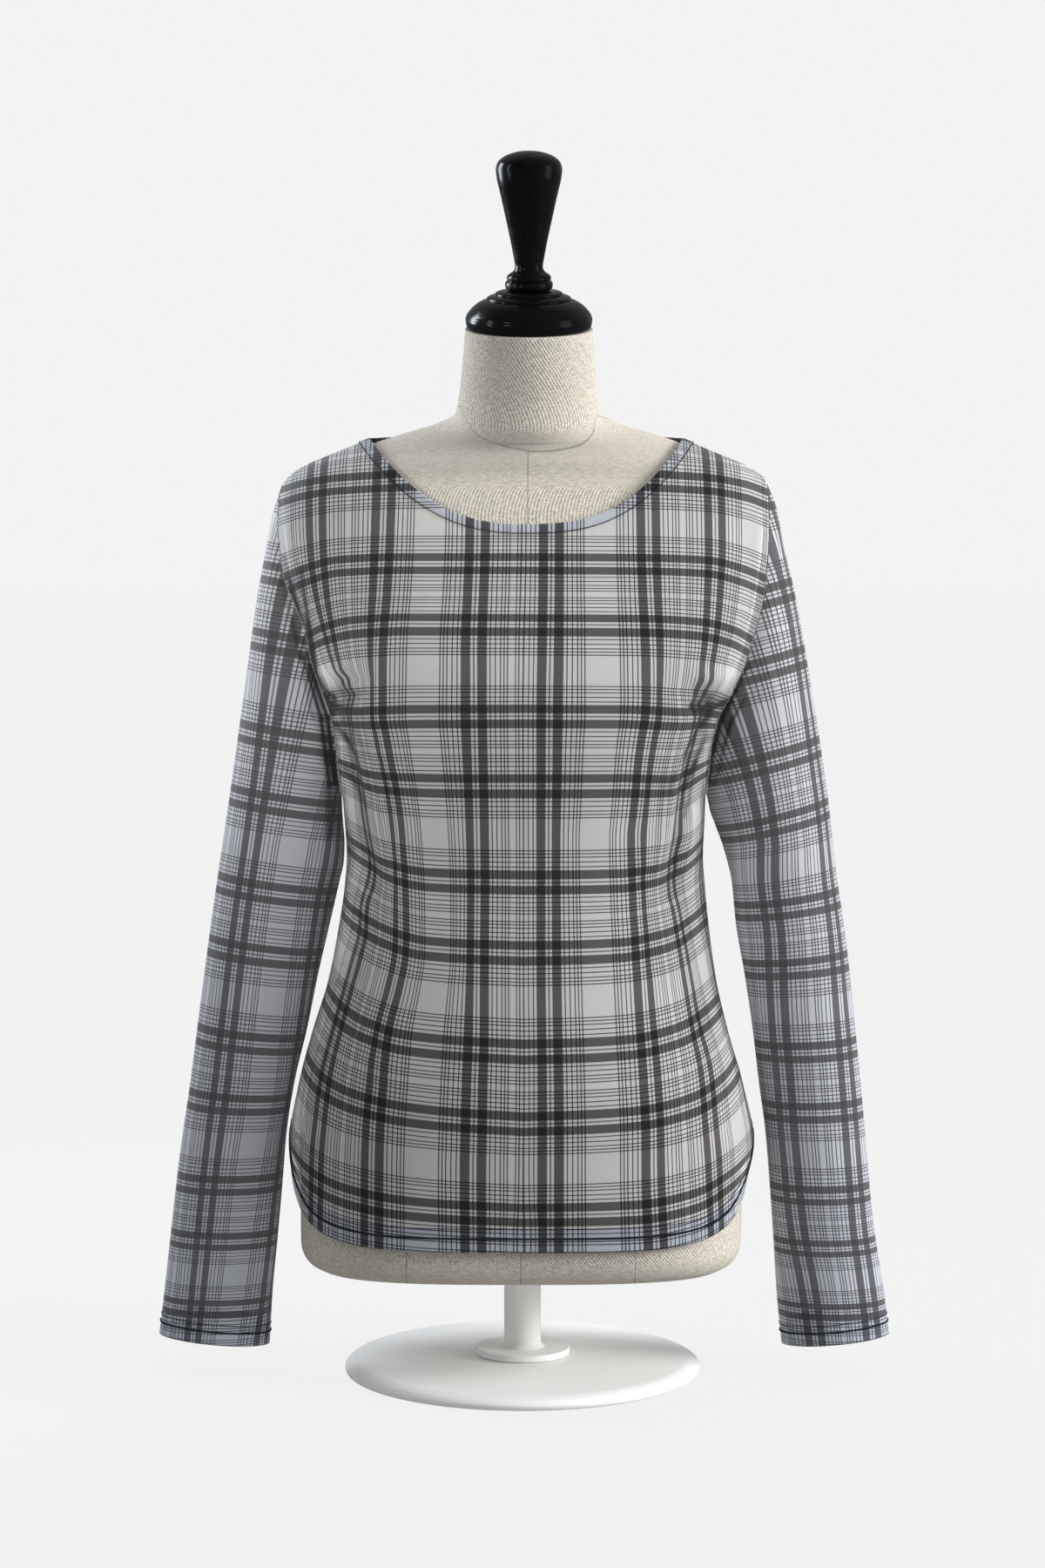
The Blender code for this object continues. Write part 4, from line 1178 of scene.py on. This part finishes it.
def seam_lines(tree, place):
    """One on the seams of the form and zero elsewhere, from the place on the form."""
    x, y, z = split(tree, place)
    above_bottom = maths(tree, "SUBTRACT", z, FORM_BOTTOM * MM)
    middle = maths(tree, "MULTIPLY_ADD", above_bottom, FORM_LEAN, FORM_AXIS_AT_BOTTOM * MM)
    from_middle = maths(tree, "ABSOLUTE", maths(tree, "SUBTRACT", x, middle))
    from_princess = maths(tree, "ABSOLUTE", maths(tree, "SUBTRACT", from_middle, princess_line(tree, z)))
    too_near = maths(tree, "LESS_THAN", from_middle, SIDE_SEAM_BEYOND)
    from_side = maths(tree, "ADD", maths(tree, "ABSOLUTE", y), too_near)
    level_neck = maths(tree, "MULTIPLY_ADD", x, NECK_SEAM_SLOPE, NECK_SEAM_HEIGHT)
    neck_height = maths(tree, "ADD", maths(tree, "MINIMUM", y, NECK_SEAM_FRONT), level_neck)
    to_neck = maths(tree, "SUBTRACT", z, neck_height)
    above_neck = maths(tree, "GREATER_THAN", to_neck, 0.0)
    above_bust = maths(tree, "GREATER_THAN", z, BUST_TOP)
    below_bust = maths(tree, "ADD", maths(tree, "MINIMUM", from_princess, from_side), above_bust)
    body_seam = maths(tree, "ADD", maths(tree, "MINIMUM", from_middle, below_bust), above_neck)
    distance = maths(tree, "MINIMUM", body_seam, maths(tree, "ABSOLUTE", to_neck))
    return ranged(tree, distance, SEAM_WIDTH / 2, SEAM_WIDTH, 1.0, 0.0)


print("seam over the bust, mm out:", [seam.x for seam in PRINCESS_SEAM])

# %% The linen
LINEN_COLOUR = (0.60, 0.555, 0.47)
LINEN_DARK = tuple(0.32 * value for value in LINEN_COLOUR)
LINEN_LIGHT = tuple(1.32 * value for value in LINEN_COLOUR)
SEAM_COLOUR = (0.12, 0.10, 0.08)


def linen_finish():
    """A fine twill with thick and thin threads, on the form's own unrolled skin."""
    finish, tree, shader = new_finish("linen twill", LINEN_COLOUR, 0.88, Specular_IOR_Level=0.2,
                                      Sheen_Weight=0.15, Sheen_Roughness=0.6)
    skin = step(tree, "ShaderNodeUVMap", uv_map="cloth_cut").outputs[0]
    twill = step(tree, "ShaderNodeTexWave", {"Vector": skin, "Scale": 235.0, "Distortion": 1.6,
                                             "Detail": 3.0, "Detail Scale": 2.0},
                 wave_type="BANDS", bands_direction="DIAGONAL").outputs[1]
    slubs = noise(tree, skin, 230.0, 2.0, (1, 4, 1))
    threads = noise(tree, skin, 260.0, 2.0, (4, 1, 1))
    woven = blend_colours(tree, twill, LINEN_DARK, LINEN_LIGHT)
    slubbed = blend_colours(tree, ranged(tree, slubs, 0.42, 0.7, 0.0, 0.9), woven, LINEN_LIGHT)
    threaded = blend_colours(tree, ranged(tree, threads, 0.5, 0.72, 0.0, 0.9), slubbed, LINEN_DARK)
    patches = maths(tree, "MULTIPLY", noise(tree, skin, 14.0, 4.0), 0.5)
    cloudy = blend_colours(tree, patches, threaded, LINEN_COLOUR)
    seams = seam_lines(tree, step(tree, "ShaderNodeTexCoord").outputs["Object"])
    sewn = blend_colours(tree, maths(tree, "MULTIPLY", seams, 0.5), cloudy, SEAM_COLOUR)
    tree.links.new(sewn, shader.inputs["Base Color"])
    height = maths(tree, "SUBTRACT", maths(tree, "ADD", twill, slubs), seams)
    relief(tree, shader, height, 0.6, 0.0003)
    return finish


LINEN = linen_finish()
print("finish:", LINEN.name)

# %% The torso
FORM_COLUMNS = 384
FORM_STEPS = 8


def form_points():
    rings = dense(FORM_RINGS, FORM_STEPS)
    height, half_width, front, back, roundness, centre_y, tilt = (column[:, None] for column in rings)
    angles = np.linspace(0, 2 * pi, FORM_COLUMNS, endpoint=False)
    across, deep = (np.sign(turn) * np.abs(turn)**(2 / roundness)
                    for turn in (np.cos(angles), np.sin(angles)))
    axis = FORM_AXIS_AT_BOTTOM + FORM_LEAN * (height - FORM_BOTTOM)
    y = np.where(deep < 0, front, back) * deep
    return np.stack([axis + half_width * across, centre_y + y, height + tilt * y], axis=2)


def close_ends(torso, points):
    """Flat lids on the first and last ring."""
    rows, columns = points.shape[:2]
    edit = bmesh.new()
    edit.from_mesh(torso.data)
    edit.verts.ensure_lookup_table()
    edit.faces.new([edit.verts[number] for number in reversed(range(columns))])
    edit.faces.new([edit.verts[(rows - 1) * columns + number] for number in range(columns)])
    edit.to_mesh(torso.data)
    edit.free()
    torso.data.update()


def make_torso():
    """The skin of the form. Its cut is the way round and the way up, so the weave follows it."""
    points = form_points()
    closed_points = np.concatenate([points, points[:, :1]], axis=1)
    around = travelled(closed_points.swapaxes(0, 1)).T
    up = np.broadcast_to(travelled(points[:, 0])[:, None], around.shape)
    torso = grid_mesh("form_torso_linen", points, np.stack([around, up], axis=2), LINEN, closed=True)
    close_ends(torso, points)
    return report(torso)


form_torso = make_torso()

# %% [markdown]
# ## Turned pieces
# The cap and its handle were turned on a lathe, and so are the plates and the tube of the stand.
# A profile is turned about an upright axis. Each corner of the profile is rounded first, because
# a real edge always catches a thin line of light.

# %% A lathe
LONGEST_CUT = 0.45


def rounded_profile(profile, radius, steps=4):
    """The same profile with a small arc in place of each corner."""
    points = [np.array(point, float) for point in profile]
    made = [points[0]]
    for before, corner, after in zip(points, points[1:], points[2:]):
        reach = [np.linalg.norm(point - corner) for point in (before, after)]
        cut = min(radius, LONGEST_CUT * min(reach))
        start = corner + cut * (before - corner) / reach[0]
        end = corner + cut * (after - corner) / reach[1]
        for t in np.linspace(0, 1, steps + 1):
            made.append((1 - t)**2 * start + 2 * t * (1 - t) * corner + t**2 * end)
    made.append(points[-1])
    return np.array(made)


def turned(name, profile, material, radius, place=(0, 0, 0), lean=0.0, sides=112):
    """Turn a profile of radius and height, from its top down, and put it in place."""
    profile = rounded_profile(profile, radius)[::-1]
    angles = np.linspace(0, 2 * pi, sides, endpoint=False)
    inner = profile[1:-1]
    rings = np.stack([np.outer(inner[:, 0], np.cos(angles)), np.outer(inner[:, 0], np.sin(angles)),
                      np.repeat(inner[:, 1:], sides, axis=1)], axis=2)
    vertices = np.concatenate([rings.reshape(-1, 3), [[0, 0, profile[0, 1]], [0, 0, profile[-1, 1]]]])
    faces = grid_faces(len(inner), sides, True)
    bottom, top, last = len(vertices) - 2, len(vertices) - 1, (len(inner) - 1) * sides
    for side in range(sides):
        after = (side + 1) % sides
        faces += [(after, side, bottom), (last + side, last + after, top)]
    c, s = np.cos(lean), np.sin(lean)
    tipped = vertices @ np.array([[1, 0, 0], [0, c, s], [0, -s, c]]) + np.array(place)
    return report(in_scene(name, smooth_mesh(name, tipped, faces, material)))


# %% [markdown]
# Black lacquer is a dark ground under a clear coat. Fine scuffs and dust make its gloss uneven.
# The stand's pale enamel is sprayed on, so it keeps a fine ripple, and it has greyed in patches.

# %% Black lacquer and pale enamel
LACQUER_BLACK = (0.004, 0.004, 0.005)


def lacquer_finish():
    finish, tree, shader = new_finish("black lacquer", LACQUER_BLACK, 0.18, Specular_IOR_Level=0.16,
                                      Coat_Weight=0.12, Coat_Roughness=0.07)
    where = step(tree, "ShaderNodeTexCoord").outputs["Object"]
    smears = noise(tree, where, 35.0, 3.0, (1, 1, 3))
    tree.links.new(ranged(tree, smears, 0.3, 0.7, 0.14, 0.30), shader.inputs["Roughness"])
    specks = ranged(tree, noise(tree, where, 420.0, 4.0), 0.66, 0.80, 0.0, 0.35)
    dusty = blend_colours(tree, specks, LACQUER_BLACK, (0.10, 0.10, 0.10))
    tree.links.new(dusty, shader.inputs["Base Color"])
    return finish


def enamel_finish():
    finish, tree, shader = new_finish("pale enamel", (0.93, 0.925, 0.91), 0.42, Specular_IOR_Level=0.45)
    where = step(tree, "ShaderNodeTexCoord").outputs["Object"]
    wear = maths(tree, "MULTIPLY", noise(tree, where, 14.0, 4.0), 0.5)
    worn = blend_colours(tree, wear, (0.94, 0.935, 0.92), (0.86, 0.855, 0.84))
    tree.links.new(worn, shader.inputs["Base Color"])
    orange_peel = noise(tree, where, 260.0, 2.0)
    relief(tree, shader, orange_peel, 0.15, 0.0003)
    return finish


LACQUER = lacquer_finish()
ENAMEL = enamel_finish()
print("finishes:", LACQUER.name, "/", ENAMEL.name)

# %% Cap, handle and stand
CAP_PROFILE = [(0, 28.4), (18.0, 28.4), (21.6, 28.1), (24.4, 27.2), (25.3, 26.2), (25.0, 25.3),
               (28.8, 24.6), (31.2, 23.4), (31.8, 22.3), (31.5, 21.7), (35.2, 20.6), (39.2, 18.3),
               (42.6, 15.4), (45.2, 12.4), (46.5, 10.6), (46.6, 9.8), (47.3, 8.7), (47.5, 6.6),
               (47.0, 3.2), (46.3, 1.0), (45.7, 0), (0, 0)]
HANDLE_PROFILE = [(0, 102.5), (9.0, 101.8), (17.5, 99.0), (23.0, 95.0), (24.8, 89.5), (24.0, 82.0),
                  (20.6, 68.0), (17.0, 51.5), (13.6, 36.0), (10.4, 18.5), (10.6, 15.6), (12.2, 13.4),
                  (15.6, 11.4), (16.7, 9.4), (16.4, 8.0), (15.8, 7.3), (17.5, 6.2), (18.0, 4.0),
                  (17.4, 1.4), (15.6, 0), (0, 0)]
BASE_PROFILE = [(0, 12.0), (40.0, 12.0), (126.0, 9.0), (133.0, 7.0), (136.0, 4.0), (135.0, 0.8),
                (133.5, 0), (0, 0)]
POST_PROFILE = [(0, 72.4), (42.0, 72.4), (42.0, 67.4), (17.0, 67.4), (14.0, 64.4), (14.0, 8.0),
                (17.0, 5.0), (36.0, 5.0), (36.0, 0), (0, 0)]
lean_back = np.array([0, -np.sin(NECK_TILT), np.cos(NECK_TILT)])
neck_axis = FORM_AXIS_AT_BOTTOM + FORM_LEAN * (FORM_TOP - FORM_BOTTOM)
cap_seat = np.array([neck_axis, NECK_SHIFT, FORM_TOP]) + GAP * lean_back
handle_seat = cap_seat + (CAP_PROFILE[0][1] + GAP) * lean_back
post_seat = (0, 0, BASE_PROFILE[0][1] + GAP)
neck_cap = turned("neck_cap_turned", CAP_PROFILE, LACQUER, 1.2, cap_seat, NECK_TILT)
cap_handle = turned("cap_handle_turned", HANDLE_PROFILE, LACQUER, 5.0, handle_seat, NECK_TILT)
stand_base = turned("stand_base_turned", BASE_PROFILE, ENAMEL, 2.0)
stand_post = turned("stand_post_turned", POST_PROFILE, ENAMEL, 1.0, post_seat)

# %% [markdown]
# ## Stitches
# Two rows of stitches hold each hem, and one row holds the binding. Stitches are one small thread
# repeated along a line, which is what Geometry Nodes do best: the line is resampled at the
# pitch, a thread is put on each point and turned along it, and the result is made real.

# %% A row of stitches

def stitch_tree():
    tree = bpy.data.node_groups.new("row of stitches", "GeometryNodeTree")
    face = tree.interface
    face.new_socket("Line", in_out="INPUT", socket_type="NodeSocketGeometry")
    for name, value in (("Pitch", 0.0026), ("Stitch length", 0.0021), ("Thread width", 0.0005)):
        face.new_socket(name, in_out="INPUT", socket_type="NodeSocketFloat").default_value = value
    face.new_socket("Thread", in_out="INPUT", socket_type="NodeSocketMaterial")
    face.new_socket("Stitches", in_out="OUTPUT", socket_type="NodeSocketGeometry")
    given = step(tree, "NodeGroupInput").outputs
    curve = step(tree, "GeometryNodeMeshToCurve", {"Mesh": given["Line"]}).outputs[0]
    points = step(tree, "GeometryNodeResampleCurve", {"Curve": curve, "Length": given["Pitch"]},
                  mode="LENGTH").outputs[0]
    ball = step(tree, "GeometryNodeMeshUVSphere", {"Segments": 6, "Rings": 5, "Radius": 0.5}).outputs[0]
    width = given["Thread width"]
    sizes = step(tree, "ShaderNodeCombineXYZ", [given["Stitch length"], width, width]).outputs[0]
    thread = step(tree, "GeometryNodeTransform", {"Geometry": ball, "Scale": sizes}).outputs[0]
    tangent = step(tree, "GeometryNodeInputTangent").outputs[0]
    turn = step(tree, "FunctionNodeAlignRotationToVector", {"Vector": tangent}, axis="X").outputs[0]
    placed = step(tree, "GeometryNodeInstanceOnPoints",
                  {"Points": points, "Instance": thread, "Rotation": turn}).outputs[0]
    real = step(tree, "GeometryNodeRealizeInstances", [placed]).outputs[0]
    coated = step(tree, "GeometryNodeSetMaterial", {"Geometry": real, "Material": given["Thread"]})
    step(tree, "NodeGroupOutput", [coated.outputs[0]])
    return tree


STITCH_TREE = stitch_tree()
print("nodes that stitch:", len(STITCH_TREE.nodes))

# %% Stitching along a line

def stitched(name, loops, pitch, length, width):
    """Stitches along closed loops of points in mm, as one plain mesh."""
    points, edges = [], []
    for loop in loops:
        first, count = len(points), len(loop)
        points += (loop * MM).tolist()
        edges += [(first + number, first + (number + 1) % count) for number in range(count)]
    line = bpy.data.meshes.new(name + "_line")
    line.from_pydata(points, edges, [])
    guide = in_scene(name + "_guide", line)
    rule = guide.modifiers.new("stitches", "NODES")
    rule.node_group = STITCH_TREE
    values = {"Pitch": pitch * MM, "Stitch length": length * MM, "Thread width": width * MM,
              "Thread": THREAD}
    for item in STITCH_TREE.interface.items_tree:
        if item.in_out == "INPUT" and item.name in values:
            rule[item.identifier] = values[item.name]
    evaluated = guide.evaluated_get(bpy.context.evaluated_depsgraph_get())
    mesh = bpy.data.meshes.new_from_object(evaluated)
    mesh.name = name
    guide.modifiers.remove(rule)
    bpy.data.objects.remove(guide, do_unlink=True)
    mesh.shade_smooth()
    return report(in_scene(name, mesh))


# %% The thread
THREAD, thread_tree, thread_shader = new_finish("navy thread", (0.014, 0.017, 0.028), 0.7,
                                                Specular_IOR_Level=0.2)
fuzz = noise(thread_tree, step(thread_tree, "ShaderNodeTexCoord").outputs["Object"], 900.0)
thread_colour = blend_colours(thread_tree, fuzz, (0.010, 0.012, 0.022), (0.024, 0.027, 0.042))
thread_tree.links.new(thread_colour, thread_shader.inputs["Base Color"])
print("finish:", THREAD.name)

# %% Rows on the hem, the cuffs and the binding
PROUD = 0.25
PROUD_OF_BINDING = 0.95
BINDING_LINE = 1.4
HEM_CHAIN = 10.4
CUFF_CHAIN = 10.0
EDGE_STEPS = 24


def row_along(points, distance, proud=PROUD, closed=True):
    """A row of points a distance up from the edge of a cloth and just outside it."""
    return up_from_edge(points, distance) + proud * outward_normals(points, closed)[0]


def hem_loop(distance):
    panels = (front_points, back_points)
    return np.concatenate([row_along(points, distance, closed=False) for points in panels])


def cuff_loops(distance):
    return [row_along(points, distance) for points in (right_points, left_points)]


neck_edge = all_round(*neck_panels(dense([BELOW_BINDING, PAST_BINDING], EDGE_STEPS)))
binding_line = row_along(neck_edge, BINDING_LINE, PROUD_OF_BINDING)
binding_stitches = stitched("binding_stitches", [binding_line], pitch=1.9, length=2.2, width=0.7)
hem_stitches = stitched("hem_stitches", [hem_loop(HEM_DEPTH)], pitch=2.2, length=2.2, width=0.7)
hem_chain = stitched("hem_chain", [hem_loop(HEM_CHAIN)], pitch=1.6, length=2.0, width=1.7)
cuff_stitches = stitched("cuff_stitches", cuff_loops(CUFF_DEPTH), pitch=2.2, length=2.2, width=0.7)
cuff_chain = stitched("cuff_chain", cuff_loops(CUFF_CHAIN), pitch=1.6, length=2.0, width=1.6)

# %% [markdown]
# ## Putting each piece on its body
# Every piece rides on the one body and stands for its solid, which is hidden.

# %% Bodies and the solids that the pieces stand for
PIECES = [
    (top_front, "top_front", "plaid_mesh"),
    (top_back, "top_back", "plaid_mesh"),
    (sleeve_right, "sleeve_right", "plaid_mesh"),
    (sleeve_left, "sleeve_left", "plaid_mesh"),
    (neck_binding, "neck_binding", "binding_mesh"),
    (form_torso, "form_torso", "linen"),
    (neck_cap, "neck_cap", "black_lacquer"),
    (cap_handle, "cap_handle", "black_lacquer"),
    (stand_base, "stand_base", "pale_enamel"),
    (stand_post, "stand_post", "pale_enamel"),
]
for piece, replaced, slot in PIECES:
    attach(piece, "root")
    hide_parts(replaced)
for piece in (hem_stitches, hem_chain, cuff_stitches, cuff_chain, binding_stitches):
    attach(piece, "root")
